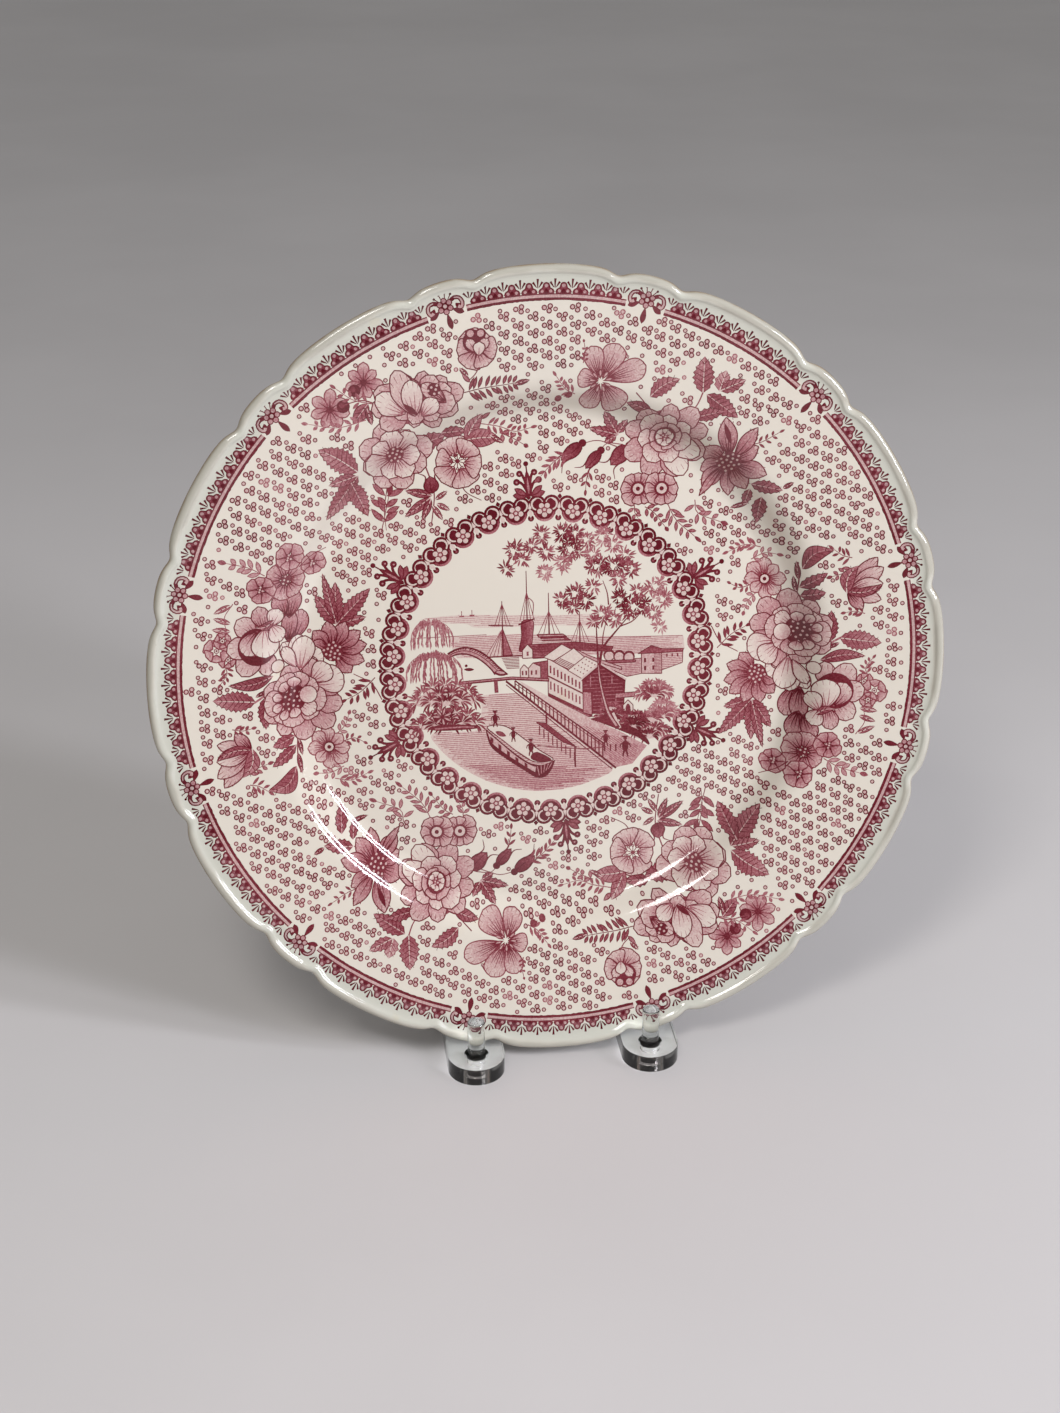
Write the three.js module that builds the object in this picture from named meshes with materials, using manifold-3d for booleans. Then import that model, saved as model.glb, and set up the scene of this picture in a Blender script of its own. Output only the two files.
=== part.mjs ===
// A scalloped china dinner plate, standing on a clear acrylic display stand.
// Millimetres, +Z up. The plate faces -Y, and the origin is on the table under the middle of the whole.
import * as THREE from "three";
import { mergeVertices } from "three/addons/utils/BufferGeometryUtils.js";
import Module from "manifold-3d";

const wasm = await Module();
wasm.setup();
const rad = THREE.MathUtils.degToRad;

// ---- Driving dimensions ----

// Plate. Its own axes are X across, Y up its face and Z out of its face, from the middle of its foot ring.
const PLATE_RADIUS = 130; // to the crown of a large lobe
const WELL_RADIUS = 78; // the flat middle, where the curved wall starts
const WELL_FLOOR = 7; // height of the flat middle above the foot ring
const MARLY_RADIUS = 95; // where the curved wall becomes the sloping border
const MARLY_START = 17; // height of the border at its inner edge
const MARLY_SLOPE = 0.2; // rise of the border for each millimetre outwards
const CHANNEL_RADIUS = 121.5; // where the border turns into the shallow channel inside the lip
const LIP_RADIUS = 1.7; // half the thickness of the rounded lip
const LIP_HEIGHT = 22.4; // height of the middle of the lip
const BORDER_THICKNESS = 4.4;
const WALL_THICKNESS = 4; // under the flat middle
const FOOT_RING = { inner: 74.5, outer: 81, land: 2 }; // radii, and the width of the flat it stands on

// Scallops: a small lobe every 30 degrees, with a notch at each side of it and a large lobe between.
const LOBES = 12;
const FIRST_SMALL_LOBE = 15; // degrees from +X
const NOTCH_OFFSET = 4.7; // degrees from the middle of the small lobe
const NOTCH_WIDTH = 1.6; // degrees from the notch to half its depth
const NOTCH_DEPTH = 2.3;
const SCALLOP_START = 104; // radius where the border starts to follow the scalloped edge
const FLUTE_DEPTH = 0.6; // how far the border's face dips in line with a notch
const CURVE_STEPS = 3; // straight pieces in each curve of the plate's section

// Stand, bent from clear acrylic strip.
const LEAN = rad(12); // of the plate and the back rests, from upright
const STRIP_WIDTH = 19;
const STRIP_THICKNESS = 6;
const ARM_SPACING = 59; // between the middles of the two arms
const BEND_RADIUS = 12; // at the middle of the strip's thickness
const BACK_REST_LENGTH = 172; // between the corners of the bends
const REAR_LEG_REACH = 72; // how far the rear leg's end is behind its top corner
const PEG_RADIUS = 2.9;
const PEG_HEIGHT = 13; // above the foot
const PEG_HOLE_RADIUS = 3.2;
const COUNTERSINK = { radius: 4.15, depth: 0.9 };
const CROSS_ROD_RADIUS = 3;
const UPPER_ROD_RISE = 106; // up the back rest from the heel's corner
const REAR_ROD_RISE = 26; // up the rear leg from the table
const GAP = 0.3; // between pieces that touch

// ---- Materials ----

const glazedEarthenware = new THREE.MeshStandardMaterial({ color: 0xdedacd, roughness: 0.15, metalness: 0 });
const clearAcrylic = new THREE.MeshStandardMaterial({
  color: 0xe9eeee,
  roughness: 0.05,
  metalness: 0,
  transparent: true,
  opacity: 0.35,
});

// ---- Plate ----

// How deep the scalloped edge is cut at an angle in degrees, from 0 on a lobe to 1 in a notch.
function notchAt(degrees) {
  const period = 360 / LOBES;
  const half = period / 2;
  const fromLobe = THREE.MathUtils.euclideanModulo(degrees - FIRST_SMALL_LOBE + half, period) - half;
  const bite = (away) => 1 / (1 + (away / NOTCH_WIDTH) ** 2);
  return bite(fromLobe - NOTCH_OFFSET) + bite(fromLobe + NOTCH_OFFSET);
}

const edgeRadius = (degrees) => PLATE_RADIUS - NOTCH_DEPTH * notchAt(degrees);

// A section point (distance from Z, height) at an angle round Z.
function aroundZ(point, degrees) {
  return [point.x * Math.cos(rad(degrees)), point.x * Math.sin(rad(degrees)), point.y];
}

// The same on the plate's border, which draws in and dips towards each notch.
function scalloped(point, degrees) {
  const reach = THREE.MathUtils.smoothstep(point.x, SCALLOP_START, PLATE_RADIUS - 2 * LIP_RADIUS);
  const share = notchAt(degrees) * reach;
  return aroundZ(new THREE.Vector2(point.x - NOTCH_DEPTH * share, point.y - FLUTE_DEPTH * share), degrees);
}

// The plate's section, from the middle of its face out over the lip and back to the middle of its underside.
function plateSection() {
  const lip = { r: PLATE_RADIUS - LIP_RADIUS, h: LIP_HEIGHT };
  const channelHeight = MARLY_START + MARLY_SLOPE * (CHANNEL_RADIUS - MARLY_RADIUS);
  const underside = WELL_FLOOR - WALL_THICKNESS;
  const ringMiddle = (FOOT_RING.inner + FOOT_RING.outer) / 2;
  const outerWall = FOOT_RING.outer + 2;
  const ease = 9; // how far the wall's two bends reach towards each other
  const lipStart = rad(143);
  const path = new THREE.Path();
  path.moveTo(0, WELL_FLOOR);
  path.lineTo(WELL_RADIUS, WELL_FLOOR);
  path.bezierCurveTo(WELL_RADIUS + ease, WELL_FLOOR, MARLY_RADIUS - ease, MARLY_START - ease * MARLY_SLOPE,
    MARLY_RADIUS, MARLY_START);
  path.lineTo(CHANNEL_RADIUS, channelHeight);
  path.quadraticCurveTo(CHANNEL_RADIUS + 4, channelHeight + 0.2,
    lip.r + LIP_RADIUS * Math.cos(lipStart), lip.h + LIP_RADIUS * Math.sin(lipStart));
  path.absarc(lip.r, lip.h, LIP_RADIUS, lipStart, rad(-110), true);
  path.lineTo(MARLY_RADIUS + 3, MARLY_START + 3 * MARLY_SLOPE - BORDER_THICKNESS);
  path.bezierCurveTo(MARLY_RADIUS - 5, MARLY_START - 6, outerWall + 6, underside + 1,
    outerWall, underside + 0.4);
  path.quadraticCurveTo(FOOT_RING.outer, underside, ringMiddle + FOOT_RING.land / 2, 0);
  path.lineTo(ringMiddle - FOOT_RING.land / 2, 0);
  path.quadraticCurveTo(FOOT_RING.inner, underside, FOOT_RING.inner - 2, underside);
  path.lineTo(0, underside);
  return path.getPoints(CURVE_STEPS);
}

// Angles round the rim in degrees, closest together where the edge turns sharply.
function rimAngles() {
  const steps = [0, 0.35, 0.68, 1, 1.34, 1.85, 2.5];
  const inPeriod = [...steps.map((s) => s * NOTCH_OFFSET), 180 / LOBES];
  inPeriod.push(...steps.slice(1).reverse().map((s) => 360 / LOBES - s * NOTCH_OFFSET));
  const angles = [];
  for (let lobe = 0; lobe < LOBES; lobe++) {
    for (const step of inPeriod) angles.push(FIRST_SMALL_LOBE + (lobe * 360) / LOBES + step);
  }
  return angles;
}

const evenAngles = (count) => Array.from({ length: count }, (_, i) => (i * 360) / count);

// A closed skin turned about Z from a section whose two ends are on the axis, top first.
function turnedSkin(section, angles, place) {
  const rings = section.slice(1, -1);
  const positions = [0, 0, section[0].y];
  for (const point of rings) {
    for (const degrees of angles) positions.push(...place(point, degrees));
  }
  positions.push(0, 0, section.at(-1).y);
  const count = angles.length;
  const last = 1 + rings.length * count;
  const faces = [];
  for (let j = 0; j < count; j++) {
    const next = (j + 1) % count;
    faces.push(0, 1 + j, 1 + next);
    for (let i = 0; i + 1 < rings.length; i++) {
      const here = 1 + i * count;
      const there = here + count;
      faces.push(here + j, there + j, there + next, here + j, there + next, here + next);
    }
    faces.push(last, last - count + next, last - count + j);
  }
  const geometry = new THREE.BufferGeometry();
  geometry.setAttribute("position", new THREE.Float32BufferAttribute(positions, 3));
  geometry.setIndex(faces);
  geometry.computeVertexNormals();
  return geometry;
}

function makePlate() {
  const plate = new THREE.Mesh(turnedSkin(plateSection(), rimAngles(), scalloped), glazedEarthenware);
  plate.name = "plate";
  return plate;
}

// Where the middle of the foot ring is: the lip stands on the inner edges of the two feet.
const footInnerEdge = (ARM_SPACING - STRIP_WIDTH) / 2;
const contactDegrees = THREE.MathUtils.radToDeg(Math.acos(footInnerEdge / PLATE_RADIUS));
const contactRadius = edgeRadius(contactDegrees) - LIP_RADIUS;
const contactDrop = Math.sqrt(contactRadius ** 2 - footInnerEdge ** 2);
const plateMiddle = new THREE.Vector3(
  0,
  0,
  STRIP_THICKNESS + GAP + LIP_RADIUS + contactDrop * Math.cos(LEAN) - LIP_HEIGHT * Math.sin(LEAN),
);

// ---- Solids ----

function toManifold(geometry) {
  const plain = new THREE.BufferGeometry();
  plain.setAttribute("position", geometry.getAttribute("position"));
  plain.setIndex(geometry.index);
  const merged = mergeVertices(plain, 1e-4);
  const mesh = new wasm.Mesh({
    numProp: 3,
    vertProperties: new Float32Array(merged.attributes.position.array),
    triVerts: new Uint32Array(merged.index.array),
  });
  return new wasm.Manifold(mesh);
}

function fromManifold(solid) {
  const mesh = solid.getMesh();
  const geometry = new THREE.BufferGeometry();
  geometry.setAttribute("position", new THREE.BufferAttribute(mesh.vertProperties, 3));
  geometry.setIndex(new THREE.BufferAttribute(mesh.triVerts, 1));
  return geometry;
}

// ---- Stand ----

// Places in the side view are Vector2(y, z).
const upRest = new THREE.Vector2(Math.sin(LEAN), Math.cos(LEAN));
const outOfRest = new THREE.Vector2(-Math.cos(LEAN), Math.sin(LEAN));
const halfStrip = STRIP_THICKNESS / 2;
const ringPlane = new THREE.Vector2(plateMiddle.y, plateMiddle.z);
const restMiddle = ringPlane.clone().addScaledVector(outOfRest, -GAP - halfStrip);
const heel = restMiddle.clone().addScaledVector(upRest, (halfStrip - restMiddle.y) / upRest.y);
const topCorner = heel.clone().addScaledVector(upRest, BACK_REST_LENGTH);
const rearEnd = new THREE.Vector2(topCorner.x + REAR_LEG_REACH, 0);

// The peg stands just in front of the lip, and is concentric with the rounded end of the foot.
const lipFront = -LIP_HEIGHT * Math.cos(LEAN) - contactDrop * Math.sin(LEAN) - LIP_RADIUS;
const pegY = plateMiddle.y + lipFront - GAP - PEG_RADIUS;
const footTip = new THREE.Vector2(pegY - STRIP_WIDTH / 2, halfStrip);

// The outline of a strip that follows corners at the middle of its thickness, with a round bend at each.
function bentStrip(corners, bendRadius, half) {
  const bends = corners.slice(1, -1).map((corner, i) => {
    const into = corner.clone().sub(corners[i]).normalize();
    const away = corners[i + 2].clone().sub(corner).normalize();
    const turn = Math.atan2(into.cross(away), into.dot(away));
    const inwards = away.clone().sub(into).normalize();
    const centre = corner.clone().addScaledVector(inwards, bendRadius / Math.cos(turn / 2));
    return { centre, turn, start: into.angle() - (Math.sign(turn) * Math.PI) / 2 };
  });
  const endPoint = (end, towards, side) => {
    const along = towards.clone().sub(end).normalize();
    return end.clone().add(new THREE.Vector2(-along.y, along.x).multiplyScalar(side * half));
  };
  const shape = new THREE.Shape();
  const lower = endPoint(corners[0], corners[1], -1);
  const upper = endPoint(corners[0], corners[1], 1);
  shape.moveTo(lower.x, lower.y);
  shape.lineTo(upper.x, upper.y);
  for (const { centre, turn, start: from } of bends) {
    const radius = bendRadius - Math.sign(turn) * half;
    shape.absarc(centre.x, centre.y, radius, from, from + turn, turn < 0);
  }
  for (const side of [-1, 1]) {
    const end = endPoint(corners.at(-1), corners.at(-2), side);
    shape.lineTo(end.x, end.y);
  }
  for (const { centre, turn, start: from } of bends.reverse()) {
    const radius = bendRadius + Math.sign(turn) * half;
    shape.absarc(centre.x, centre.y, radius, from + turn, from, turn > 0);
  }
  return shape;
}

// The strip's side view, drawn out across its width, centred on X = 0.
function stripSolid() {
  const belowTable = rearEnd.clone().sub(topCorner).normalize().multiplyScalar(STRIP_THICKNESS);
  const side = bentStrip([footTip, heel, topCorner, rearEnd.clone().add(belowTable)], BEND_RADIUS, halfStrip);
  const across = { depth: STRIP_WIDTH, bevelEnabled: false, curveSegments: 14 };
  const geometry = new THREE.ExtrudeGeometry(side, across);
  geometry.translate(0, 0, -STRIP_WIDTH / 2);
  // The outline's x and y become Y and Z, and the drawn-out depth becomes X.
  geometry.applyMatrix4(new THREE.Matrix4().set(0, 0, 1, 0, 1, 0, 0, 0, 0, 1, 0, 0, 0, 0, 0, 1));
  return toManifold(geometry);
}

// A prism over the strip's plan, with the round end of the foot, from the table up.
function planSolid() {
  const half = STRIP_WIDTH / 2;
  const far = rearEnd.x + 4 * STRIP_THICKNESS;
  const plan = new THREE.Shape();
  plan.moveTo(half, far);
  plan.lineTo(-half, far);
  plan.absarc(0, pegY, half, Math.PI, 2 * Math.PI, false);
  const geometry = new THREE.ExtrudeGeometry(plan, { depth: 400, bevelEnabled: false, curveSegments: 28 });
  return toManifold(geometry);
}

// The peg's hole right through the foot, with a small countersink at its mouth.
function pegHoleSolid() {
  const profile = new THREE.Path();
  const mouth = STRIP_THICKNESS - COUNTERSINK.depth;
  profile.moveTo(0, -2);
  profile.lineTo(PEG_HOLE_RADIUS, -2);
  profile.lineTo(PEG_HOLE_RADIUS, mouth);
  profile.lineTo(COUNTERSINK.radius, STRIP_THICKNESS);
  profile.lineTo(COUNTERSINK.radius, STRIP_THICKNESS + 2);
  profile.lineTo(0, STRIP_THICKNESS + 2);
  // turnedSkin takes a section from the top down.
  const geometry = turnedSkin(profile.getPoints().reverse(), evenAngles(32), aroundZ);
  geometry.translate(0, pegY, 0);
  return toManifold(geometry);
}

const armSolid = stripSolid().intersect(planSolid()).subtract(pegHoleSolid());

function makeArm(name, x) {
  const arm = new THREE.Mesh(fromManifold(armSolid), clearAcrylic);
  arm.name = name;
  arm.position.x = x;
  return arm;
}

// A round peg with a polished edge at its top, flush with the underside of the foot.
function makePeg(name, x) {
  const top = STRIP_THICKNESS + PEG_HEIGHT;
  const edge = 0.5;
  const profile = new THREE.Path();
  profile.moveTo(0, top);
  profile.lineTo(PEG_RADIUS - edge, top);
  profile.quadraticCurveTo(PEG_RADIUS, top, PEG_RADIUS, top - edge);
  profile.lineTo(PEG_RADIUS, GAP);
  profile.lineTo(0, GAP);
  const peg = new THREE.Mesh(turnedSkin(profile.getPoints(4), evenAngles(28), aroundZ), clearAcrylic);
  peg.name = name;
  peg.position.set(x, pegY, 0);
  return peg;
}

// A round rod across the stand, between the inner edges of the two arms.
function makeCrossRod(name, place) {
  const length = ARM_SPACING - STRIP_WIDTH - 2 * GAP;
  const cylinder = new THREE.CylinderGeometry(CROSS_ROD_RADIUS, CROSS_ROD_RADIUS, length, 28);
  const rod = new THREE.Mesh(cylinder, clearAcrylic);
  rod.name = name;
  rod.rotation.z = Math.PI / 2;
  rod.position.set(0, place.x, place.y);
  return rod;
}

function makeStand() {
  const stand = new THREE.Group();
  const upperRod = heel.clone().addScaledVector(upRest, UPPER_ROD_RISE);
  const rearRod = rearEnd.clone().lerp(topCorner, REAR_ROD_RISE / topCorner.y);
  for (const [side, x] of [["left", -ARM_SPACING / 2], ["right", ARM_SPACING / 2]]) {
    stand.add(makeArm(`${side}_arm`, x));
    stand.add(makePeg(`${side}_peg`, x));
  }
  stand.add(makeCrossRod("upper_cross_rod", upperRod));
  stand.add(makeCrossRod("rear_cross_rod", rearRod));
  return stand;
}

// ---- Whole object ----

const group = new THREE.Group();
const plate = makePlate();
plate.position.copy(plateMiddle);
plate.rotation.x = Math.PI / 2 - LEAN;
group.add(plate);
group.add(makeStand());

// The origin goes under the middle of the whole.
const box = new THREE.Box3().setFromObject(group, true);
group.position.y = -(box.min.y + box.max.y) / 2;

export default group;
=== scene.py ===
"""A transfer-printed china dinner plate standing on a clear acrylic display stand.

Blender works in metres. The plate is drawn in its own axes, in millimetres: x across, y up its face and
h out of its face, from the middle of its foot ring. A point of the face is one complex number, x + y*1j.
Angles round the plate are in degrees, anticlockwise from its right side. Ink is 0 where the glaze is bare
and 1 where the print is darkest.
"""

import math

import bmesh
import bpy
import numpy as np
from mathutils import Matrix, Vector, geometry


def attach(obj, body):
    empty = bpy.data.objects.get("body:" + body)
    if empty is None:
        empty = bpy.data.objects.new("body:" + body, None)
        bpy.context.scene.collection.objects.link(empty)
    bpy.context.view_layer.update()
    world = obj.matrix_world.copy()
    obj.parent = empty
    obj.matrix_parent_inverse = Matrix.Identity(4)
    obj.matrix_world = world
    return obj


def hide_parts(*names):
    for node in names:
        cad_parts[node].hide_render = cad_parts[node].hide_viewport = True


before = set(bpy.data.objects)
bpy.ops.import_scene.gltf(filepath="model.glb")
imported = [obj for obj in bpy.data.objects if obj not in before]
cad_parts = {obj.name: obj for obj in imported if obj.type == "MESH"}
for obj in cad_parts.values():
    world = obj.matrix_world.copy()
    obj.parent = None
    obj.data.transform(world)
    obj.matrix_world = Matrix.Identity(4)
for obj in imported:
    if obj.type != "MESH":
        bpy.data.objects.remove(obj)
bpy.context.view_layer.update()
MM = 0.001
SEED = 20
rng = np.random.default_rng(SEED)

# ---- The plate's section, as in the CAD part ----

LEAN = math.radians(12)
WELL_FLOOR = 7.0
SECTION_STEPS = 26
LOBES = 12
FIRST_SMALL_LOBE = 15.0
NOTCH_OFFSET = 4.7
NOTCH_WIDTH = 1.6
NOTCH_DEPTH = 2.3
SCALLOP_START = 104.0
SCALLOP_END = 126.6
FLUTE_DEPTH = 0.6
LIP = (128.3, 22.4)
LIP_RADIUS = 1.7
ROLL_START = 143  # degrees round the lip's section where its front begins
ROLL_END = -110
SCALLOP_ROUNDS = 12  # steps that find which ring of the section a drawn-in point comes from
GLAZE_EDGE = 126.2  # radius where the printed face meets the lip
GLAZE_RECESS = 0.35  # how far the body lies under the printed face


def bezier(points, steps=SECTION_STEPS):
    """Points along a quadratic or cubic curve, without its first point."""
    t = np.arange(1, steps + 1)[:, None] / steps
    p = np.array(points, float)
    n = len(p) - 1
    return sum(math.comb(n, i) * (1 - t) ** (n - i) * t**i * p[i] for i in range(n + 1))


def straight(a, b, steps):
    """Points along a straight line, without its first point."""
    t = np.arange(1, steps + 1)[:, None] / steps
    return np.array(a) * (1 - t) + np.array(b) * t


def lip_point(degrees):
    """A point of the rolled lip's section."""
    a = math.radians(degrees)
    return (LIP[0] + LIP_RADIUS * math.cos(a), LIP[1] + LIP_RADIUS * math.sin(a))


# Each row is a distance from the plate's axis and a height above its foot ring.
FRONT = np.concatenate(
    [
        [(0.0, WELL_FLOOR)],
        straight((0.0, WELL_FLOOR), (78.0, WELL_FLOOR), 6),
        bezier([(78.0, WELL_FLOOR), (87.0, 7.0), (86.0, 15.2), (95.0, 17.0)]),
        straight((95.0, 17.0), (121.5, 22.3), 26),
        bezier([(121.5, 22.3), (125.5, 22.5), lip_point(ROLL_START)], 14),
    ]
)
ROLL = np.array([lip_point(a) for a in np.linspace(ROLL_START, ROLL_END, 22)[1:]])
BACK = np.concatenate(
    [
        straight(ROLL[-1], (98.0, 13.2), 22),
        bezier([(98.0, 13.2), (90.0, 11.0), (89.0, 4.0), (83.0, 3.4)], 14),
        bezier([(83.0, 3.4), (81.0, 3.0), (78.75, 0.0)], 5),
        straight((78.75, 0.0), (76.75, 0.0), 2),
        bezier([(76.75, 0.0), (74.5, 3.0), (72.5, 3.0)], 5),
        straight((72.5, 3.0), (0.0, 3.0), 6),
    ]
)


def notches(degrees):
    """How strongly the edge is drawn in at an angle round the plate: 1 at the bottom of a notch."""
    step = 360.0 / LOBES
    from_small = np.mod(degrees - FIRST_SMALL_LOBE + step / 2, step) - step / 2

    def bite(offset):
        return 1.0 / (1.0 + (offset / NOTCH_WIDTH) ** 2)

    return bite(from_small - NOTCH_OFFSET) + bite(from_small + NOTCH_OFFSET)


def smooth(t):
    """A soft step from 0 to 1."""
    t = np.clip(t, 0.0, 1.0)
    return t * t * (3 - 2 * t)


def scallop_share(section_radius, pull):
    """How much of the notches' depth reaches this ring of the section."""
    return pull * smooth((section_radius - SCALLOP_START) / (SCALLOP_END - SCALLOP_START))


def face_height(spot):
    """Height of the plate's printed face at points x + y*1j."""
    radius = np.abs(spot)
    pull = notches(np.degrees(np.angle(spot)))
    section_radius = radius.copy()
    for _ in range(SCALLOP_ROUNDS):
        section_radius = radius + NOTCH_DEPTH * scallop_share(section_radius, pull)
    height = np.interp(section_radius, FRONT[:, 0], FRONT[:, 1])
    return height - FLUTE_DEPTH * scallop_share(section_radius, pull)


def face_normal(spot):
    """The direction that the printed face looks in, in the plate's own axes."""
    step = 0.15
    dx = (face_height(spot + step) - face_height(spot - step)) / (2 * step)
    dy = (face_height(spot + step * 1j) - face_height(spot - step * 1j)) / (2 * step)
    n = np.stack([-dx, -dy, np.ones_like(dx)], 1)
    return n / np.linalg.norm(n, axis=1, keepdims=True)


def edge_spot(section_radius, degrees):
    """The point of the scalloped ring that starts at this radius of the section."""
    share = scallop_share(section_radius, notches(degrees))
    return (section_radius - NOTCH_DEPTH * share) * np.exp(1j * np.radians(degrees))


# The plate's own axes in the frame. The foot ring's land is its lowest plane.
OUT = np.array([0.0, -math.cos(LEAN), math.sin(LEAN)])
UP = np.array([0.0, math.sin(LEAN), math.cos(LEAN)])
ACROSS = np.array([1.0, 0.0, 0.0])
cad_plate = np.array([v.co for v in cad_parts["plate"].data.vertices])
CENTRE = OUT * (cad_plate @ OUT).min() + UP * ((cad_plate @ UP).max() + (cad_plate @ UP).min()) / 2
AXES = np.stack([ACROSS, UP, OUT])


def to_frame(spot, height):
    """Positions in metres, in the frame, of points given in the plate's own axes."""
    own = np.stack([spot.real, spot.imag, height], 1)
    return CENTRE + own @ AXES * MM


def new_mesh(name, positions, triangles=None, quads=None):
    """A mesh object from arrays of positions and of face corners."""
    mesh = bpy.data.meshes.new(name)
    if quads is not None:
        mesh.from_pydata(positions.tolist(), [], quads)
    else:
        count = len(triangles)
        mesh.vertices.add(len(positions))
        mesh.vertices.foreach_set("co", positions.astype(np.float32).ravel())
        mesh.loops.add(count * 3)
        mesh.loops.foreach_set("vertex_index", triangles.astype(np.int32).ravel())
        mesh.polygons.add(count)
        mesh.polygons.foreach_set("loop_start", np.arange(0, count * 3, 3, dtype=np.int32))
        mesh.update(calc_edges=True)
    mesh.shade_smooth()
    obj = bpy.data.objects.new(name, mesh)
    bpy.context.scene.collection.objects.link(obj)
    return obj


# ---- Print: shapes laid over each other, the last on top ----
# In every drawing function the numbers are places and sizes in millimetres, then ink densities.

DARK = 1.0
EDGE_INK = 0.88  # the drawn edge of a shape


class Print:
    """Outlines with their ink, which runs from one density at a point to another at a second point."""

    def __init__(self):
        self.outlines = []
        self.inks = []

    def fill(self, outline, ink):
        """An outline of even ink."""
        self.outlines.append(np.asarray(outline, complex))
        self.inks.append((0j, 0j, ink, ink, 1.0))

    def shade(self, outline, near, far, near_ink, far_ink, power=1.0):
        """Ink that runs from near_ink at the point near to far_ink at the point far."""
        run = far - near
        self.outlines.append(np.asarray(outline, complex))
        self.inks.append((near, run / abs(run) ** 2, near_ink, far_ink, power))

    def repeat(self, first, turn):
        """Everything from shape number first again, turned about the plate's middle."""
        for i in range(first, len(self.outlines)):
            near, run, a, b, power = self.inks[i]
            self.outlines.append(self.outlines[i] * turn)
            self.inks.append((near * turn, run * turn, a, b, power))


art = Print()


def disc(at, radius, sides):
    """A round outline."""
    return at + radius * np.exp(2j * np.pi * np.arange(sides) / sides)


def curve(points, step=0.9):
    """A smooth line through the points."""
    p = np.asarray(points, complex)
    p = np.concatenate([[2 * p[0] - p[1]], p, [2 * p[-1] - p[-2]]])
    line = []
    for a, b, c, d in zip(p, p[1:], p[2:], p[3:]):
        n = max(1, math.ceil(abs(c - b) / step))
        t = np.arange(n) / n
        square = (2 * a - 5 * b + 4 * c - d) * t**2
        cube = (3 * b - a - 3 * c + d) * t**3
        line.append(0.5 * (2 * b + (c - a) * t + square + cube))
    return np.append(np.concatenate(line), p[-2])


def loop(points, step):
    """A smooth closed outline through the points."""
    p = list(points)
    line = curve([*p[-2:], *p, *p[:2]], step)
    first = int(np.argmin(np.abs(line - p[0])))
    last = len(line) - 1 - int(np.argmin(np.abs(line[::-1] - p[0])))
    return line[first:last] if last > first else curve([*p, p[0]], step)[:-1]


def heading(line):
    """The direction of the line at each of its points."""
    along = np.gradient(line)
    along = np.where(np.abs(along) < 1e-6, 1j, along)
    return along / np.abs(along)


def dot(at, radius, sides, ink):
    """A round spot of ink."""
    art.fill(disc(at, radius, sides), ink)


def draw(ink, points, start, end=None, step=0.9):
    """A line of ink through the points, as wide as start at its first and as end at its last."""
    line = curve(points, step)
    half = np.linspace(start, start if end is None else end, len(line)) / 2
    side = 1j * heading(line) * half
    art.fill(np.concatenate([line + side, (line - side)[::-1]]), ink)


def inset(outline, by):
    """The outline moved inwards."""
    along = np.roll(outline, -1) - np.roll(outline, 1)
    inward = 1j * along / np.maximum(np.abs(along), 1e-9)
    area = np.sum(np.imag(np.conj(outline) * np.roll(outline, -1)))
    return outline + inward * by * (1 if area > 0 else -1)


def blade(base, tip, width, full=1.0, blunt=1.0, count=9, bend=0.0):
    """A petal or leaf outline.

    A higher full puts its widest part nearer its tip, and a blunt under 1 rounds its ends.
    """
    t = np.linspace(0.0, 1.0, count)
    half = width / 2 * np.sin(np.pi * t**full) ** blunt
    run = tip - base
    side = 1j * run / abs(run)
    spine = base + run * t + side * bend * np.sin(np.pi * t)
    left = spine + side * half
    right = spine - side * half
    return np.concatenate([right[:-1], left[:0:-1]])


def frilled(outline, base, waves, depth):
    """The outline with waves round it that fade out towards its base."""
    away = np.abs(outline - base)
    share = away / away.max()
    s = np.arange(len(outline)) / len(outline)
    return base + (outline - base) * (1 + depth * share**2 * np.cos(2 * np.pi * waves * s))


CELL = 3.0  # side of the squares that the triangles' middles are sorted into
CELLS = 100  # squares across the plate


def topmost(middles, outlines):
    """The number of the last outline that covers each point, or -1."""
    column = np.floor(middles.real / CELL).astype(int) + CELLS // 2
    row = np.floor(middles.imag / CELL).astype(int) + CELLS // 2
    key = column * CELLS + row
    order = np.argsort(key, kind="stable")
    starts = np.searchsorted(key[order], np.arange(CELLS * CELLS + 1))
    top = np.full(len(middles), -1)
    for number, outline in enumerate(outlines):
        low_x, high_x = (int(v // CELL) + CELLS // 2 for v in (outline.real.min(), outline.real.max()))
        low_y, high_y = (int(v // CELL) + CELLS // 2 for v in (outline.imag.min(), outline.imag.max()))
        crossed_columns = range(low_x * CELLS, high_x * CELLS + 1, CELLS)
        near = np.concatenate([order[starts[c + low_y] : starts[c + high_y + 1]] for c in crossed_columns])
        point = middles[near][:, None]
        after = np.roll(outline, -1)
        rise = after.imag - outline.imag
        crossed = (outline.imag > point.imag) != (after.imag > point.imag)
        divisor = np.where(rise == 0, 1, rise)
        reach = outline.real + (point.imag - outline.imag) * (after.real - outline.real) / divisor
        winding = np.sum(np.where(crossed & (reach > point.real), np.sign(rise), 0), axis=1)
        top[near[winding != 0]] = number
    return top


# ---- Border, ground pattern and medallion band ----


def unit(degrees):
    """The direction at an angle, as a complex number."""
    return np.exp(1j * math.radians(degrees))


def polar(radius, degrees):
    """Points at a distance from the middle, at one angle or at several."""
    return radius * np.exp(1j * np.radians(degrees))


def outward(radius, degrees):
    """A function that takes local points to a place round the plate, with +1j away from the middle."""
    turn = np.exp(1j * np.radians(degrees - 90))

    def place(*points):
        spots = polar(radius, degrees) + np.asarray(points, complex) * turn
        return spots[0] if len(points) == 1 else spots

    return place


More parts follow.
